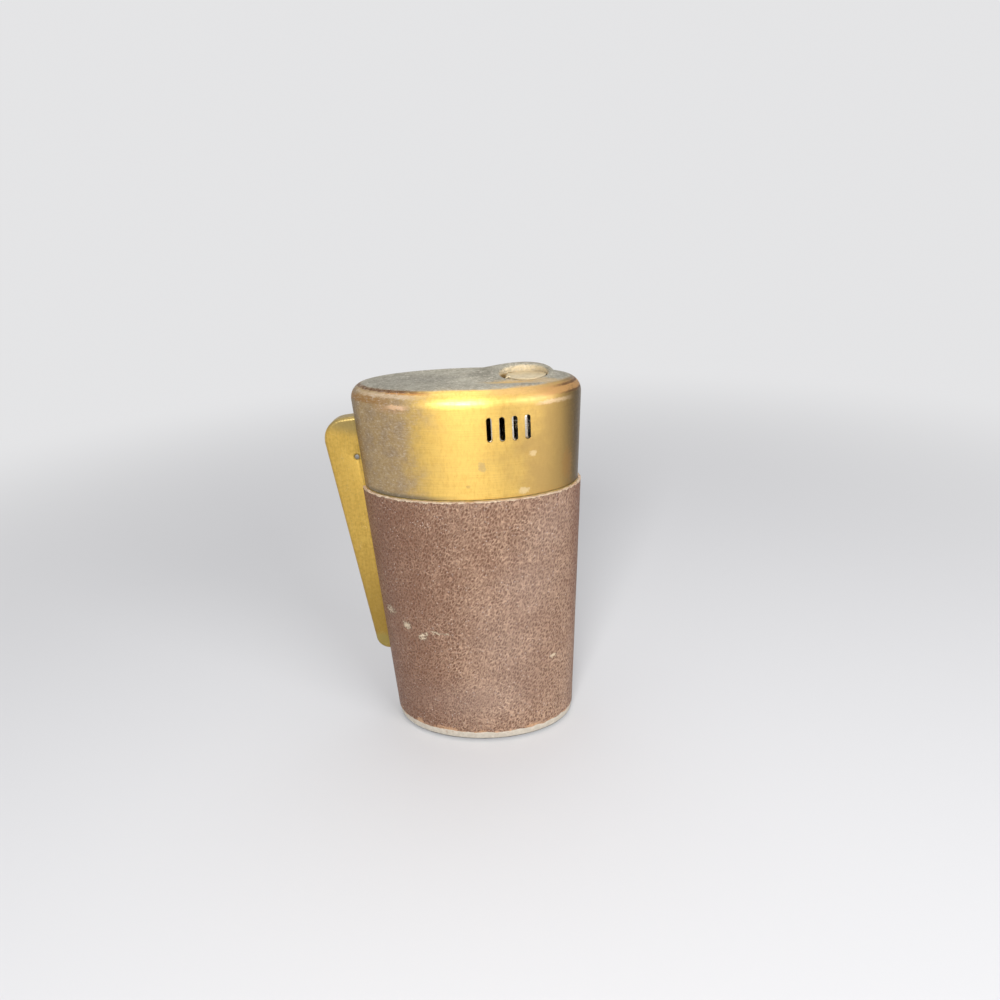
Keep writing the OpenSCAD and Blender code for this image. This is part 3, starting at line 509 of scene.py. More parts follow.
def leverFinish():
    finish, shader, place = newFinish("leverBrass")
    look = leverLook
    x, y, z = nodeFrom("SeparateXYZ", {0: place}).outputs
    line = brushed(place, look["brushing"])
    blotch = stained(place, size=0.9, cover=0.42, edge=0.2)
    share = plus(times(blotch, 0.55), times(line, 0.4))
    colour = painted(share, look["bright"], look["mottle"])
    topEdge = eased(calc("MULTIPLY_ADD", x, 0.25, z), *look["topEdge"])
    colour = laid(colour, topEdge, 0.7, look["olive"])
    colour = laid(colour, eased(z, *look["lower"]), 0.75, look["low"])
    for tone, centre, reach in look["marks"]:
        mask = marked(place, centre, reach, ragged=0.35)
        colour = laid(colour, mask, 0.7, tone)
    colour = laid(colour, specked(place, size=0.7, cover=0.2), 0.3, look["olive"])
    scratch = scratched(place, stretch=(0.5, 0.5, 0.14), width=0.012)
    colour = laid(colour, scratch, 0.4, look["scratch"])
    rough = plus(eased(blotch, 0.0, 1.0, 0.34, 0.44), times(line, 0.06))
    fill(shader, {"Base Color": colour, "Metallic": 0.92, "Roughness": rough})
    setRelief(shader, plus(line, times(cloud(place, 0.3), 2.0)), 0.02)
    return finish


hideLook = {
    "pit": (0.135, 0.059, 0.032),
    "ridge": (0.60, 0.39, 0.262),
    "dark": (0.17, 0.066, 0.032),
    # the lavender pale of painted glints and painted sheen
    "worn": (0.58, 0.46, 0.40),
    "raw": (0.74, 0.60, 0.43),
    "tan": (0.62, 0.36, 0.20),
    "rawShade": (0.50, 0.36, 0.26),
    "grain": 0.88,
    "lean": -62,  # degrees by which the grain slants
    "stretch": (1.55, 1, 0.8),
    "darkLeft": (6.0, -27.0),  # from x, to x
    "darkRight": (25.5, 30.0),
    "topEdge": (77.75, 78.05),  # heights where the raw edges show
    "lowEdge": (3.75, 3.5),
    "scratch": (-13.2, -6.6, 37.6),  # from x, to x, height
    "flecks": [  # x, height, half size
        (-24.9, 41.5, 1.4), (-19.9, 38.3, 1.2), (-15.2, 35.6, 1.2), (-14.0, 36.9, 0.6), (22.0, 26.5, 0.8),
    ],
    "patches": [  # patches of painted sheen: x, height, half width, half height
        (17.0, 54.0, 9.0, 12.0), (9.0, 33.0, 12.0, 22.0), (22.0, 70.0, 7.0, 9.0), (-2.0, 14.0, 18.0, 8.0),
    ],
    "tears": [  # along the foot: x, half width, half height
        (-25.9, 0.8, 2.6), (-19.2, 1.5, 1.7), (-10.0, 4.8, 1.3), (0.6, 1.8, 0.9), (15.5, 2.5, 1.2),
    ],
}


def hideFinish():
    finish, shader, place = newFinish("hide")
    look = hideLook
    x, y, z = nodeFrom("SeparateXYZ", {0: place}).outputs
    sockets = {"Vector": place, "Rotation": (0, math.radians(look["lean"]), 0), "Scale": look["stretch"]}
    leaning = nodeFrom("Mapping", sockets, vector_type="TEXTURE").outputs[0]
    grain = use("pebbles", Place=leaning, Size=look["grain"])
    slow = stained(place, size=9.0, cover=0.45, edge=0.2)
    ridgePatchiness = stained(place, size=14.0, cover=0.4, edge=0.2)
    # the grain's own tone, with painted shade in the pits and a painted highlight on the ridges, stronger
    # in some places than in others
    share = times(grain["Ridge"], eased(ridgePatchiness, 0.0, 1.0, 0.75, 1.0))
    colour = painted(share, look["pit"], look["ridge"])
    colour = laid(colour, slow, 0.3, look["dark"])
    # painted shade: the left and right sides darken toward the dark red-brown
    left = eased(x, *look["darkLeft"], 0.0, 0.62)
    right = eased(x, *look["darkRight"], 0.0, 0.7)
    colour = painted(larger(left, right), colour, look["dark"])
    # painted glints in small specks, and broad patches of painted sheen, in a lavender pale
    worn = times(specked(place, size=0.7, cover=0.12), 0.6)
    for px, pz, wide, high in look["patches"]:
        away = farFrom(place, (px, -16, pz), (wide, 30, high))
        worn = plus(worn, eased(away, 1.5, 0.0, 0.0, 0.13))
    colour = painted(calc("MINIMUM", worn, 0.8), colour, look["worn"])

    # bare flecks, one long scratch, and the raw hide that shows at the cut edges
    bare = marked(place, centre=(22.0, -11.0, 26.5), reach=(0.8, 3, 0.6), ragged=0.9)
    for px, pz, size in look["flecks"]:
        fleck = marked(place, centre=(px, -13, pz), reach=(size, 9, size), ragged=1.5)
        bare = larger(bare, fleck)
    start, stop, height = look["scratch"]
    along = times(eased(x, start, start + 1), eased(x, stop, stop - 1))
    wavy = plus(z, driftCloud(place, 0.6, 4.0, 0.75, 4.0))
    offLine = calc("ABSOLUTE", calc("SUBTRACT", wavy, height))
    line = times(times(eased(offLine, 0.3, 0.12), along), eased(y, -8.0, -10.0))
    bare = larger(bare, times(line, 0.8))
    torn = driftCloud(place, 0.9, 4.0, 0.7, 1.6)
    topEdge = eased(plus(z, torn), *look["topEdge"])
    lowTorn = calc("MULTIPLY_ADD", cloud(place, 0.3, 5.0, 0.75), 5.0, -2.0)
    lowEdge = eased(plus(z, lowTorn), *look["lowEdge"])
    for px, wide, high in look["tears"]:
        tear = marked(place, centre=(px, -13, 3.3), reach=(wide, 9, high), ragged=0.8)
        lowEdge = larger(lowEdge, tear)
    nearSlot = eased(plus(calc("ABSOLUTE", y), torn), 3.6, 3.2)
    slotSide = times(eased(x, -18.0, -20.0), eased(z, 22.0, 23.0))
    slotEdge = times(nearSlot, slotSide)
    colour = painted(larger(topEdge, times(slotEdge, 0.7)), colour, look["raw"])
    colour = laid(colour, lowEdge, 0.75, look["tan"])
    colour = laid(colour, bare, 0.9, look["raw"])
    rough = eased(calc("SUBTRACT", grain["Ridge"], bare), -1.0, 1.0, 0.85, 0.42)
    fill(shader, {"Base Color": colour, "Roughness": rough, "Specular IOR Level": 0.4})
    setRelief(shader, calc("SUBTRACT", grain["Height"], times(bare, 0.8)), 0.34)
    return finish


def rawFinish():
    # the cut thickness of the leather: pale, fibrous
    finish, shader, place = newFinish("rawHide")
    fibre = brushed(place, (2.2, 2.2, 9.0))
    blotch = stained(place, size=2.5, cover=0.4, edge=0.12)
    colour = painted(fibre, hideLook["raw"], hideLook["rawShade"])
    colour = laid(colour, blotch, 0.6, hideLook["tan"])
    fill(shader, {"Base Color": colour, "Roughness": 0.85})
    setRelief(shader, fibre, 0.08)
    return finish


rimLook = {
    "bright": (0.74, 0.68, 0.58),
    "dull": (0.50, 0.44, 0.36),
    "rust": (0.40, 0.25, 0.14),
    # the colour of the painted shadow at the rim's foot
    "grime": (0.06, 0.055, 0.05),
}


def rimFinish():
    finish, shader, place = newFinish("rimMetal")
    look = rimLook
    line = brushed(place, (0.1, 0.1, 5.0))
    dull = stained(place, size=3.0, cover=0.5, edge=0.12)
    rust = stained(place, size=1.4, cover=0.16, edge=0.06)
    z = nodeFrom("SeparateXYZ", {0: place}).outputs[2]
    colour = painted(times(dull, 0.7), look["bright"], look["dull"])
    colour = laid(colour, rust, eased(z, 1.5, 3.1, 0.25, 0.8), look["rust"])
    # painted shadow on the lowest part of the rim, where it turns under to the floor
    colour = laid(colour, eased(z, 0.95, 0.55), 0.9, look["grime"])
    fill(shader, {
        "Base Color": colour,
        "Metallic": eased(dull, 0.0, 1.0, 0.8, 0.45),
        "Roughness": eased(plus(dull, line), 0.0, 2.0, 0.34, 0.6),
    })
    setRelief(shader, plus(line, times(cloud(place, 0.35), 3.0)), 0.03)
    return finish


metalLooks = {  # clean colour, dull colour, least and most roughness, share that is dull, grain, metallic
    "case_brass": ((0.72, 0.52, 0.18), (0.36, 0.26, 0.11), (0.34, 0.5), 0.5, (0.1, 0.1, 5.0), 0.95),
    "small_brass": ((0.76, 0.56, 0.22), (0.42, 0.29, 0.12), (0.28, 0.48), 0.4, (1.2, 1.2, 1.2), 1.0),
    "tank_tin": ((0.60, 0.58, 0.54), (0.40, 0.39, 0.36), (0.36, 0.58), 0.5, (0.5, 0.5, 0.5), 0.9),
    "nickel": ((0.70, 0.67, 0.61), (0.45, 0.41, 0.34), (0.2, 0.42), 0.4, (0.2, 0.2, 3.0), 1.0),
    "steel": ((0.52, 0.52, 0.52), (0.30, 0.28, 0.25), (0.3, 0.5), 0.4, (2.0, 2.0, 2.0), 1.0),
    "hard_steel": ((0.30, 0.30, 0.31), (0.16, 0.15, 0.15), (0.34, 0.55), 0.5, (3.0, 0.6, 3.0), 1.0),
    "flint_metal": ((0.20, 0.19, 0.18), (0.12, 0.11, 0.10), (0.55, 0.8), 0.5, (3.0, 3.0, 3.0), 0.6),
}


def metalFinish(name, look):
    finish, shader, place = newFinish(name)
    clean, tarnish, (smooth, rough), cover, stretch, metallic = look
    line = brushed(place, stretch)
    dull = stained(place, size=2.6, cover=cover, edge=0.14)
    share = plus(times(dull, 0.7), times(line, 0.2))
    colour = painted(share, clean, tarnish)
    colour = laid(colour, specked(place, size=0.6, cover=0.2), 0.35, tarnish)
    scratch = scratched(place, stretch=(0.3, 0.3, 0.5), width=0.015)
    colour = laid(colour, scratch, 0.35, (0.8, 0.76, 0.68))
    fill(shader, {
        "Base Color": colour,
        "Metallic": metallic,
        "Roughness": eased(plus(dull, line), 0.0, 2.0, smooth, rough),
    })
    setRelief(shader, plus(line, dull), 0.012)
    return finish


ownLooks = {  # pieces whose finish differs from the rest of their kind
    "chimney_lid": ((0.68, 0.58, 0.39), (0.50, 0.41, 0.26), (0.38, 0.55), 0.5, (0.8, 0.8, 0.8), 0.7),
    "link_pin": ((0.30, 0.29, 0.27), (0.14, 0.12, 0.10), (0.4, 0.6), 0.5, (2.0, 2.0, 2.0), 0.9),
}


fibreLooks = {  # light colour, shade, grain
    "cotton": ((0.80, 0.77, 0.69), (0.52, 0.47, 0.38), (3.0, 3.0, 0.5)),
    "catalyst": ((0.34, 0.33, 0.31), (0.13, 0.12, 0.11), (2.4, 2.4, 3.4)),
}


def fibreFinish(name, look):
    finish, shader, place = newFinish(name)
    light, shade, stretch = look
    fibre = brushed(place, stretch)
    tuft = stained(place, size=1.8, cover=0.5, edge=0.2)
    share = plus(times(fibre, 0.6), times(tuft, 0.4))
    colour = painted(share, light, shade)
    fill(shader, {"Base Color": colour, "Roughness": 0.95, "Sheen Weight": 0.3})
    setRelief(shader, plus(fibre, tuft), 0.3)
    return finish


rubberLook = {"black": (0.035, 0.034, 0.033), "bloom": (0.12, 0.115, 0.11)}


def rubberFinish():
    finish, shader, place = newFinish("sealRubber")
    bloom = stained(place, size=1.6, cover=0.4, edge=0.16)
    colour = painted(times(bloom, 0.5), rubberLook["black"], rubberLook["bloom"])
    fill(shader, {"Base Color": colour, "Roughness": eased(bloom, 0.0, 1.0, 0.55, 0.85)})
    setRelief(shader, cloud(place, 9.0, 2.0), 0.02)
    return finish


finishes = {
    "cap_brass": capFinish(),
    "lever_brass": leverFinish(),
    "hide": hideFinish(),
    "rim_metal": rimFinish(),
    "seal_rubber": rubberFinish(),
}
for name, look in metalLooks.items():
    finishes[name] = metalFinish(name, look)
for name, look in fibreLooks.items():
    finishes[name] = fibreFinish(name, look)
ownFinishes = {node: metalFinish(node + "Metal", look) for node, look in ownLooks.items()}
rawHide = rawFinish()
print("finishes built:", len(finishes))


def objectFrom(bm, name):
    mesh = bpy.data.meshes.new(name)
    bm.to_mesh(mesh)
    bm.free()
    thing = bpy.data.objects.new(name, mesh)
    bpy.context.scene.collection.objects.link(thing)
    return thing


def smoothed(thing, angle=35):
    # smooth shading that stops at edges sharper than the angle
    bm = bmesh.new()
    bm.from_mesh(thing.data)
    for face in bm.faces:
        face.smooth = True
    for edge in bm.edges:
        sharp = len(edge.link_faces) == 2 and edge.calc_face_angle(0) > math.radians(angle)
        edge.smooth = not sharp
    bm.to_mesh(thing.data)
    bm.free()
    return thing


def dress(thing, *nodes):
    # gives a piece its finish and body, and lets it stand for the CAD nodes
    slot = slotOf[nodes[0]]
    if not thing.data.materials:
        thing.data.materials.append(ownFinishes.get(nodes[0], finishes[slot]))
    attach(thing, bodyOf[nodes[0]])
    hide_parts(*nodes)
    return thing


def pulled(bm, rim):
    # extrudes a rim of edges, and gives its new vertices and its new rim
    grown = bmesh.ops.extrude_edge_only(bm, edges=rim)["geom"]
    verts = [g for g in grown if isinstance(g, bmesh.types.BMVert)]
    known = set(verts)
    return verts, [g for g in grown if isinstance(g, bmesh.types.BMEdge) and set(g.verts) <= known]


def grownRings(rings):
    # one ring of vertices, pulled on from place to place and closed; each vertex keeps its angle
    bm = bmesh.new()
    turn = bm.verts.layers.float.new("turn")
    first = bmesh.ops.create_circle(bm, segments=ovalSides, radius=1)["verts"]
    for vert in first:
        vert[turn] = math.atan2(vert.co.y, vert.co.x)
        vert.co = rings[0](vert[turn])
    start = list(bm.edges)
    rim = start
    for ring in rings[1:]:
        verts, rim = pulled(bm, rim)
        for vert in verts:
            vert.co = ring(vert[turn])
    bmesh.ops.bridge_loops(bm, edges=start + rim)
    bmesh.ops.recalc_face_normals(bm, faces=bm.faces)
    return bm


def applied(thing):
    # bakes the modifiers into the mesh
    seen = thing.evaluated_get(bpy.context.evaluated_depsgraph_get())
    mesh = bpy.data.meshes.new_from_object(seen)
    thing.modifiers.clear()
    thing.data = mesh
    return thing


def cutWith(thing, cutters):
    for cutter in cutters:
        modifier = thing.modifiers.new("cut", "BOOLEAN")
        modifier.object = cutter
        modifier.operation = "DIFFERENCE"
        modifier.solver = "EXACT"
    applied(thing)
    for cutter in cutters:
        bpy.data.objects.remove(cutter)
    return thing


def blockCutter(low, high):
    bm = bmesh.new()
    bmesh.ops.create_cube(bm, size=1)
    bmesh.ops.scale(bm, vec=[(b - a) * mm for a, b in zip(low, high)], verts=bm.verts)
    bmesh.ops.translate(bm, vec=[(a + b) / 2 * mm for a, b in zip(low, high)], verts=bm.verts)
    return objectFrom(bm, "cutter")


bodySet = {"base": 53.5, "top": 62.0, "height": 107.0, "depth": 32.5, "wall": 0.6, "seam": 78.3}
slotSet = {"half": 2.9, "foot": 23.2, "top": 99.2}  # the slot that the lever works in
ovalSides = 240


def halfWidth(z):
    return (bodySet["base"] + (bodySet["top"] - bodySet["base"]) * z / bodySet["height"]) / 2


def oval(z, inset, half=None):
    # the outline at a height, drawn in by the inset; a given half width stands in for the tapered one
    across = (halfWidth(z) if half is None else half) - inset
    deep = bodySet["depth"] / 2 - inset
    return lambda turn: Vector((across * math.cos(turn), deep * math.sin(turn), z)) * mm


def slotCutter(low, high):
    return blockCutter((-40, -slotSet["half"], low), (-10, slotSet["half"], high))


capSet = {
    "foot": 78.45,
    "shoulder": 4.4,
    "mouth": {"x": 15.8, "y": 1.2, "length": 12.6, "width": 10.2, "depth": 2.6},
    "lip": {"height": 1.0, "tilt": 0.185, "edge": 1.1, "roll": 1.45},
    "flatRings": (0.25, 0.5, 0.56, 0.62, 0.68, 0.74, 0.8, 0.86, 0.91, 0.95, 0.98),  # shares of its way in
    "vents": {"count": 4, "x": 7.2, "pitch": 3.2, "z": 97.1, "width": 1.45, "length": 6.45},
}


def swell(share):
    # the flat stays flat over the first half of the way to the mouth, then it rises to the lip
    u = max(0, (share - 0.5) / 0.5)
    return u * u * (3 - 2 * u)


def mouthPoint(turn, grow):
    mouth = capSet["mouth"]
    x = mouth["x"] + (mouth["length"] / 2 + grow) * math.cos(turn)
    return x, mouth["y"] + (mouth["width"] / 2 + grow) * math.sin(turn)


def capTop(share, drop, grow):
    # a ring on the way from the shoulder to the mouth
    lip, middle = capSet["lip"], capSet["mouth"]["y"]
    flat = oval(bodySet["height"], capSet["shoulder"])

    def ring(turn):
        edge = flat(turn) / mm
        x, y = mouthPoint(turn, grow)
        px, py = (1 - share) * edge.x + share * x, (1 - share) * edge.y + share * y
        rise = swell(share) * (lip["height"] + lip["tilt"] * (py - middle))
        return Vector((px, py, bodySet["height"] - drop + rise)) * mm

    return ring


def mouthRing(z, grow):
    return lambda turn: Vector((*mouthPoint(turn, grow), z)) * mm


def shoulderRings(inset, turns):
    shoulder = capSet["shoulder"]
    r, centre = shoulder - inset, bodySet["height"] - shoulder
    rings = []
    for a in map(math.radians, turns):
        rings.append(oval(centre + r * math.sin(a), shoulder - r * math.cos(a)))
    return rings


def ventCutter(x, side):
    # a bar with round ends that goes through the front or the back wall
    vents = capSet["vents"]
    bm = bmesh.new()
    verts = bmesh.ops.create_circle(bm, cap_ends=True, segments=24, radius=vents["width"] / 2)["verts"]
    bmesh.ops.rotate(bm, verts=verts, matrix=Matrix.Rotation(math.radians(7.5), 3, "Z"))
    for vert in verts:
        vert.co.y += math.copysign((vents["length"] - vents["width"]) / 2, vert.co.y)
    bmesh.ops.rotate(bm, verts=verts, matrix=Matrix.Rotation(math.radians(90), 3, "X"))
    grown = bmesh.ops.extrude_face_region(bm, geom=bm.faces)["geom"]
    ends = [g for g in grown if isinstance(g, bmesh.types.BMVert)]
    bmesh.ops.translate(bm, verts=ends, vec=(0, 16, 0))
    bmesh.ops.translate(bm, verts=bm.verts, vec=(x, -20 if side < 0 else 4, vents["z"]))
    bmesh.ops.scale(bm, verts=bm.verts, vec=(mm, mm, mm))
    bmesh.ops.recalc_face_normals(bm, faces=bm.faces)
    return objectFrom(bm, "cutter")


def makeCap():
    wall, lip, vents, foot = bodySet["wall"], capSet["lip"], capSet["vents"], capSet["foot"]
    height, depth = bodySet["height"], capSet["mouth"]["depth"]
    rings = [oval(foot + 0.08, 0), oval(84, 0), oval(90, 0), oval(96, 0)]
    rings += shoulderRings(0, range(0, 91, 6))
    rings += [capTop(share, 0, lip["edge"]) for share in capSet["flatRings"]]
    for a in map(math.radians, (80, 65, 50, 35, 20, 0)):  # the lip rolls over into the mouth
        rings.append(capTop(1, lip["edge"] * (1 - math.sin(a)), lip["edge"] * (1 - math.cos(a))))
    rings += [mouthRing(height - lip["roll"], 0), mouthRing(height - depth, 0)]
    rings.append(mouthRing(height - depth, wall))
    rings += [capTop(share, wall * 1.4, wall) for share in (1, 0.85, 0.7, 0.5)]
    rings += shoulderRings(wall, range(90, -1, -15))
    rings += [oval(foot + 0.05, wall), oval(foot, wall - 0.08), oval(foot, 0.1)]
    cap = objectFrom(grownRings(rings), "capSkin")
    places = [vents["x"] + k * vents["pitch"] for k in range(vents["count"])]
    cutters = [ventCutter(x, side) for x in places for side in (-1, 1)]
    cutWith(cap, cutters + [slotCutter(70, slotSet["top"])])
    return dress(smoothed(cap, 40), "cap_shell")


def makeCase():
    seam, wall = bodySet["seam"], bodySet["wall"]
    rings = [oval(0.35, 0), oval(20, 0), oval(40, 0), oval(60, 0), oval(seam - 0.1, 0), oval(seam, 0.1)]
    rings += [oval(seam, wall - 0.1), oval(seam - 0.1, wall), oval(0.35, wall)]
    case = objectFrom(grownRings(rings), "caseSkin")
    cutWith(case, [slotCutter(slotSet["foot"], 90)])
    return dress(smoothed(case), "case_shell")


collarSet = {"inset": 0.68, "thick": 0.5, "low": 72.3, "high": 83.8}


def makeCollar():
    inset, thick, low, high = (collarSet[k] for k in ("inset", "thick", "low", "high"))
    seam = bodySet["seam"]
    straight = halfWidth(seam)
    rings = [oval(low, inset), oval(seam, inset), oval(high - 0.8, inset, straight)]
    rings += [oval(high - 0.3, inset + 0.04, straight), oval(high, inset + 0.18, straight)]
    rings += [oval(high, inset + thick, straight), oval(seam, inset + thick), oval(low, inset + thick)]
    collar = objectFrom(grownRings(rings), "collarSkin")
    cutWith(collar, [slotCutter(low - 2, high + 2)])
    return dress(smoothed(collar), "cap_collar")


rimSet = {"height": 3.2, "gap": 0.05, "thick": 0.5, "wall": 0.6}


def makeRim():
    out, gap, top = -rimSet["gap"] - rimSet["thick"], -rimSet["gap"], rimSet["height"]
    rings = [oval(top - 0.15, out), oval(top - 0.04, out + 0.06), oval(top, out + 0.16), oval(top, gap)]
    rings += [oval(0.3, gap), oval(0.3, rimSet["wall"]), oval(0, rimSet["wall"]), oval(0, 0.42)]
    rings += [oval(0.08, 0.2), oval(0.24, -0.05), oval(0.5, -0.3), oval(0.85, -0.48)]
    rings += [oval(1.25, out), oval(2.2, out)]
    rim = objectFrom(grownRings(rings), "rimBand")
    return dress(smoothed(rim, 50), "base_rim")


leatherSet = {
    "columns": 240,
    "rows": 116,
    "ends": 6,  # columns between the seam and the slot's edge
    "footRows": 30,  # rows below the slot
    "foot": 3.25,
    "gap": 0.06,
    "thick": 0.76,
    "seam": 0.16,
    "wave": 0.03,
    "tornBand": 1.4,  # how far in from its top and foot the raggedness reaches
}


def raggedAt(place, size=1.0):
    return noise.fractal(Vector(place) * size, 0.8, 2.0, 4)


def leatherPoint(column, row):
    # a point of the sleeve's inside; columns run round from the seam, rows run up from the foot
    s = leatherSet
    foot, slotFoot, seam = s["foot"], slotSet["foot"], bodySet["seam"]
    deep = bodySet["depth"] / 2 + s["gap"]
    seamTurn, slotTurn = (math.asin(y / deep) for y in (s["seam"], slotSet["half"] + 0.1))
    side = min(column, s["columns"] - column)
    if side <= s["ends"]:
        turn = seamTurn + (slotTurn - seamTurn) * side / s["ends"]
    else:
        turn = slotTurn + (math.pi - slotTurn) * (side - s["ends"]) / (s["columns"] / 2 - s["ends"])
    if column * 2 > s["columns"]:
        turn = -turn
    if row <= s["footRows"]:
        z = foot + (slotFoot - foot) * row / s["footRows"]
    else:
        z = slotFoot + (seam - slotFoot) * (row - s["footRows"]) / (s["rows"] - s["footRows"])
    nearTop = max(0, 1 - (seam - z) / s["tornBand"])
    nearFoot = max(0, 1 - (z - foot) / s["tornBand"])
    out = Vector((-math.cos(turn), -math.sin(turn), 0))
    z += nearTop * (raggedAt(out * 14) * 0.22 - 0.16)
    z += nearFoot * (raggedAt(out * 9) * 0.4 - 0.05)
    if side == s["ends"] and z > slotFoot:  # frayed where it was cut for the lever
        turn += math.copysign(raggedAt((z * 0.9, turn, 0)) * 0.012 + 0.006, turn)
    wave = s["wave"] * (raggedAt((out.x * 2, out.y * 2, z * 0.07)) - 0.5)
    across = halfWidth(z) + s["gap"] - wave
    return Vector((-across * math.cos(turn), -deep * math.sin(turn), z)) * mm


def makeLeather():
    s = leatherSet
    bm = bmesh.new()
    bmesh.ops.create_grid(bm, x_segments=s["columns"], y_segments=s["rows"], size=1)
    notch = set()
    for vert in bm.verts:
        column = round((vert.co.x + 1) / 2 * s["columns"])
        row = round((vert.co.y + 1) / 2 * s["rows"])
        if min(column, s["columns"] - column) < s["ends"] and row > s["footRows"]:
            notch.add(vert)
        vert.co = leatherPoint(column, row)
    bmesh.ops.delete(bm, geom=list(notch), context="VERTS")
    bmesh.ops.recalc_face_normals(bm, faces=bm.faces)
    first = bm.faces[:][0]
    if first.normal.dot(first.calc_center_median() * Vector((1, 1, 0))) < 0:  # it has to face outwards
        bmesh.ops.reverse_faces(bm, faces=bm.faces)
    sleeve = objectFrom(bm, "leatherSleeve")
    sleeve.data.materials.append(finishes["hide"])
    sleeve.data.materials.append(rawHide)
    skin = sleeve.modifiers.new("thickness", "SOLIDIFY")
    skin.thickness = s["thick"] * mm
    skin.offset = 1
    skin.use_even_offset = True
    skin.material_offset_rim = 1
    applied(sleeve)
    return dress(smoothed(sleeve, 55), "leather_wrap")


fraySet = {"count": 420, "length": (0.35, 1.2), "thick": 0.035, "seed": 7}


def makeFrays():
    # loose fibres along the cut edges
    s = fraySet
    random.seed(s["seed"])
    bm = bmesh.new()
    deep = bodySet["depth"] / 2 + leatherSet["gap"] + leatherSet["thick"]
    for k in range(s["count"]):
        edge = random.choice(("slot", "slot", "foot", "top"))
        if edge == "slot":
            side = random.choice((-1, 1))
            z = random.uniform(slotSet["foot"], bodySet["seam"] - 0.5)
            y = side * (slotSet["half"] + 0.05)
            turn = math.asin(y / deep)
            lead = Vector((-0.4, -side, random.uniform(-0.9, 0.5)))
        else:
            turn = random.uniform(-2.9, 2.9)
            z = bodySet["seam"] - 0.35 if edge == "top" else leatherSet["foot"] + 0.2
            lead = Vector((random.uniform(-1, 1), random.uniform(-1, 1), 0.7 if edge == "top" else -1.2))
        reach = halfWidth(z) + leatherSet["gap"] + leatherSet["thick"] - random.uniform(0.05, 0.5)
        root = Vector((-reach * math.cos(turn), deep / (halfWidth(z) + 0.8) * reach * math.sin(turn), z))
        length = random.uniform(*s["length"]) * (0.45 if edge == "top" else 1)
        strand(bm, root, lead.normalized() * length, s["thick"])
    bmesh.ops.scale(bm, verts=bm.verts, vec=(mm, mm, mm))
    frays = objectFrom(bm, "leatherFrays")
    frays.data.materials.append(rawHide)
    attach(smoothed(frays, 80), "root")
    return frays


def strand(bm, root, lead, thick):
    # a thin fibre: a small ring pulled along a bent line to a point
    verts = bmesh.ops.create_circle(bm, segments=3, radius=thick, cap_ends=True)["verts"]
    turned = lead.to_track_quat("Z", "Y").to_matrix()
    bmesh.ops.rotate(bm, verts=verts, matrix=turned)
    bmesh.ops.translate(bm, verts=verts, vec=root)
    rim = list({e for v in verts for e in v.link_edges})
    bend = Vector((random.uniform(-1, 1), random.uniform(-1, 1), random.uniform(-1, 1))) * lead.length * 0.3
    for share in (0.35, 0.7, 1.0):
        verts, rim = pulled(bm, rim)
        goal = root + lead * share + bend * share * share
        bmesh.ops.translate(bm, verts=verts, vec=goal - middleOf(verts))
        bmesh.ops.scale(bm, verts=verts, vec=(0.7, 0.7, 0.7), space=Matrix.Translation(-goal))


def middleOf(verts):
    return sum((v.co for v in verts), Vector()) / len(verts)


trimSet = {  # how far the edges of each copied piece are rounded, in mm
    "lever": 0.12, "link_pin": 0.08, "pivot_pin": 0.12, "pivot_sleeve": 0.05, "pivot_bracket": 0.1,
    "spring_seat": 0.08, "rack_yoke": 0.08, "spark_wheel": 0.03, "pinions": 0.04, "igniter_axle": 0.1,
    "wave_washers": 0.05, "axle_clips": 0.05, "chassis": 0.1, "guide_pins": 0.08, "chassis_screws": 0.08,
    "flint_tube": 0.08, "flint": 0.08, "flint_screw": 0.06, "tank_shell": 0.0, "tank_top": 0.06,
    "burner_neck": 0.06, "burner_cup": 0.06, "burner_cage": 0.04, "wind_shield": 0.06, "chimney_lid": 0.08,
    "lid_pin": 0.08, "filler_bush": 0.06, "filler_washer": 0.05, "filler_plug": 0.08, "base_plate": 0.08,
    "flint_spring": 0.0,
}
sharpAngles = {"tank_top": 35, "base_plate": 35}  # an edge is rounded past this angle, elsewhere past 30


def copyOf(node):
    bm = bmesh.new()
    bm.from_mesh(frame["nodes"][node].data)
    bmesh.ops.remove_doubles(bm, verts=bm.verts, dist=1e-7)
    return bm


def pieceFrom(bm, node):
    first, *others = node.split("_")
    return objectFrom(bm, first + "".join(word.capitalize() for word in others) + "Piece")


def makeTrim(node):
    # a smooth copy of one of the plainer metal pieces
    rounding, angle = trimSet[node], math.radians(sharpAngles.get(node, 30))
    bm = copyOf(node)
    if rounding:
        bmesh.ops.dissolve_limit(bm, angle_limit=math.radians(0.6), verts=bm.verts, edges=bm.edges)
        sharp = [e for e in bm.edges if len(e.link_faces) == 2 and e.calc_face_angle(0) > angle]
        bmesh.ops.bevel(bm, geom=sharp, offset=rounding * mm, offset_type="OFFSET", affect="EDGES",
                        segments=2, profile=0.5, material=-1, clamp_overlap=True)
    return dress(smoothed(pieceFrom(bm, node), 40), node)


springSet = {"radius": 1.3, "wire": 0.4, "turns": 9, "steps": 26}


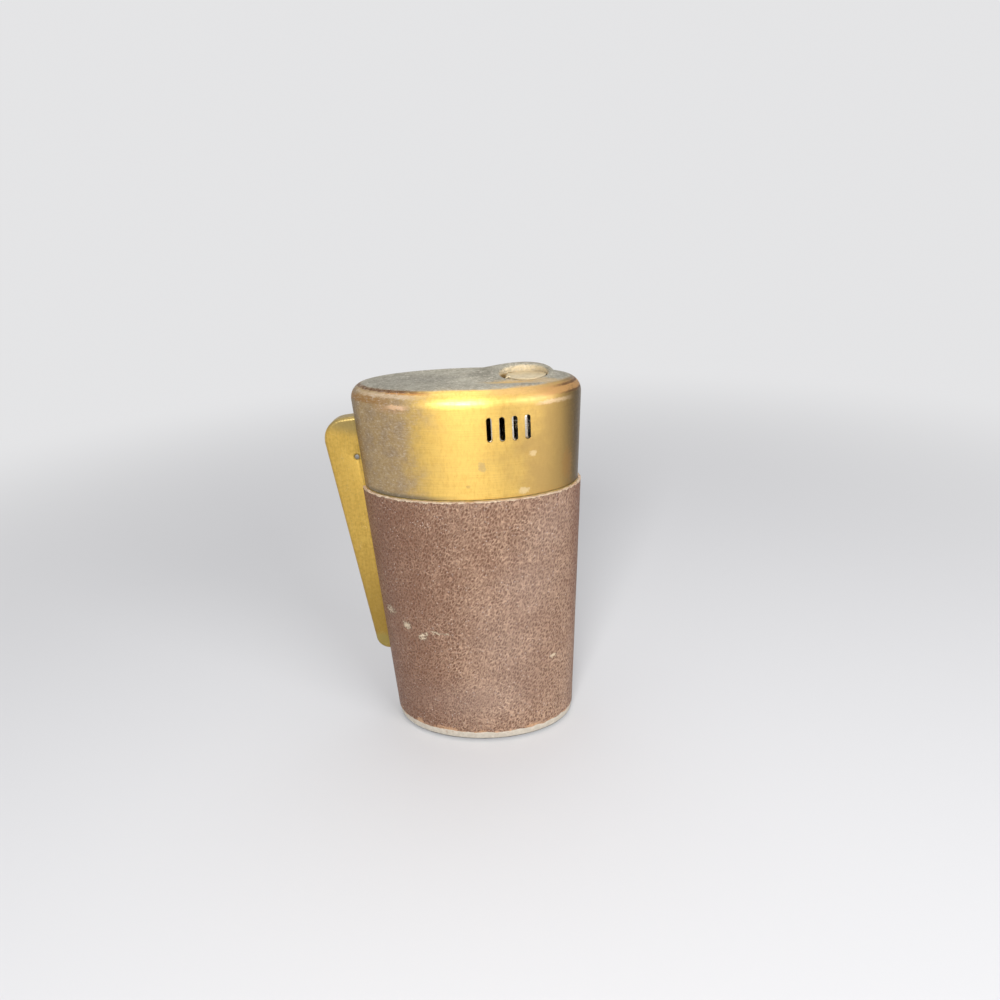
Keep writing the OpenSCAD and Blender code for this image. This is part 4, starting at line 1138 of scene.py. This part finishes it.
def makeSpring():
    s = springSet
    low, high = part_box("return_spring")
    centre, half = (low + high) / 2, s["wire"] / 2 * mm
    length = high.x - low.x - s["wire"] * mm
    top = centre.z + s["radius"] * mm
    bm = bmesh.new()
    verts = bmesh.ops.create_circle(bm, segments=10, radius=half, cap_ends=True)["verts"]
    bmesh.ops.translate(bm, verts=verts, vec=(high.x - half, centre.y, top))
    facing = Matrix.Rotation(math.radians(90), 3, "Z") @ Matrix.Rotation(math.radians(90), 3, "X")
    bmesh.ops.rotate(bm, verts=verts, cent=(high.x, centre.y, top), matrix=facing)
    steps = s["turns"] * s["steps"]
    everything = bm.faces[:] + bm.edges[:] + bm.verts[:]
    bmesh.ops.spin(bm, geom=everything, cent=(0, centre.y, centre.z), axis=(1, 0, 0),
                   dvec=(-length / steps, 0, 0), angle=2 * math.pi * s["turns"], steps=steps)
    bmesh.ops.recalc_face_normals(bm, faces=bm.faces)
    spring = dress(smoothed(objectFrom(bm, "springSkin"), 60), "return_spring")
    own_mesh(spring)
    return spring


gauzeSet = {"wire": 0.3, "pitch": 0.75}


def makeGauze():
    s = gauzeSet
    low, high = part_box("burner_gauze")
    centre, radius = (low + high) / 2, (high.x - low.x) / 2
    bm = bmesh.new()
    wires = int(radius / mm / s["pitch"] - 0.5)
    for across in (False, True):
        for k in range(-wires, wires + 1):
            off = k * s["pitch"] * mm
            half = math.sqrt(max(0, (radius - 0.2 * mm) ** 2 - off * off))
            weave(bm, centre, off, half, across, k)
    ring = bmesh.ops.create_circle(bm, segments=6, radius=s["wire"] / 2 * mm)["verts"]
    bmesh.ops.rotate(bm, verts=ring, matrix=Matrix.Rotation(math.radians(90), 3, "X"))
    bmesh.ops.translate(bm, verts=ring, vec=(centre.x + radius - s["wire"] / 2 * mm, centre.y, centre.z))
    edges = list({e for v in ring for e in v.link_edges})
    bmesh.ops.spin(bm, geom=edges + ring, cent=centre, axis=(0, 0, 1), angle=2 * math.pi, steps=64,
                   use_merge=True)
    bmesh.ops.recalc_face_normals(bm, faces=bm.faces)
    return dress(smoothed(objectFrom(bm, "gauzeWeave"), 70), "burner_gauze")


def weave(bm, centre, off, half, across, k):
    # one wire of the gauze, over and under the wires that cross it
    wire, pitch = gauzeSet["wire"] * mm, gauzeSet["pitch"] * mm
    steps = max(4, int(2 * half / pitch * 2))
    rim = None
    for i in range(steps + 1):
        along = -half + 2 * half * i / steps
        lift = math.cos(math.pi * (along / pitch) + (math.pi * (k + (1 if across else 0)))) * wire * 0.3
        place = Vector((off, along, 0) if across else (along, off, 0)) + Vector((0, 0, lift))
        if rim is None:
            verts = bmesh.ops.create_circle(bm, segments=5, radius=wire * 0.36, cap_ends=True)["verts"]
            facing = Matrix.Rotation(math.radians(90), 3, "X" if across else "Y")
            bmesh.ops.rotate(bm, verts=verts, matrix=facing)
            rim = list({e for v in verts for e in v.link_edges})
        else:
            verts, rim = pulled(bm, rim)
        bmesh.ops.translate(bm, verts=verts, vec=centre + place - middleOf(verts))


paddingSet = {  # soft fillings: how finely each is divided and how lumpy it is
    "catalyst_mat": {"cuts": 2, "lump": 0.25, "size": 0.9},
    "wick_plug": {"cuts": 2, "lump": 0.16, "size": 1.1},
    "tank_wadding": {"cuts": 2, "lump": 0.5, "size": 0.35},
}


def makePadding(node):
    # a soft filling, divided finely and then dented
    s = paddingSet[node]
    bm = copyOf(node)
    for _ in range(s["cuts"]):
        long = [e for e in bm.edges if e.calc_length() > 0.6 * mm]
        bmesh.ops.subdivide_edges(bm, edges=long, cuts=1, use_grid_fill=True)
    bmesh.ops.triangulate(bm, faces=bm.faces)
    bm.normal_update()
    for vert in bm.verts:
        dip = abs(raggedAt(vert.co / mm, s["size"])) * s["lump"]
        vert.co -= vert.normal * min(dip, s["lump"] * 1.5) * mm
    return dress(smoothed(pieceFrom(bm, node), 60), node)


makeCamera()
makeRoom()
makeLights()
print("room and lights ready")
makeCap()
print("cap made")
makeCase()
makeCollar()
makeRim()
print("case, collar and rim made")
makeLeather()
makeFrays()
print("leather made")
for node in trimSet:
    makeTrim(node)
print("metal pieces trimmed:", len(trimSet))
makeSpring()
makeGauze()
for node in paddingSet:
    makePadding(node)
print("springs, gauze and fillings made")
for node, thing in frame["nodes"].items():
    for place in range(len(thing.data.materials)):
        thing.data.materials[place] = finishes[slotOf[node]]

bpy.context.view_layer.update()
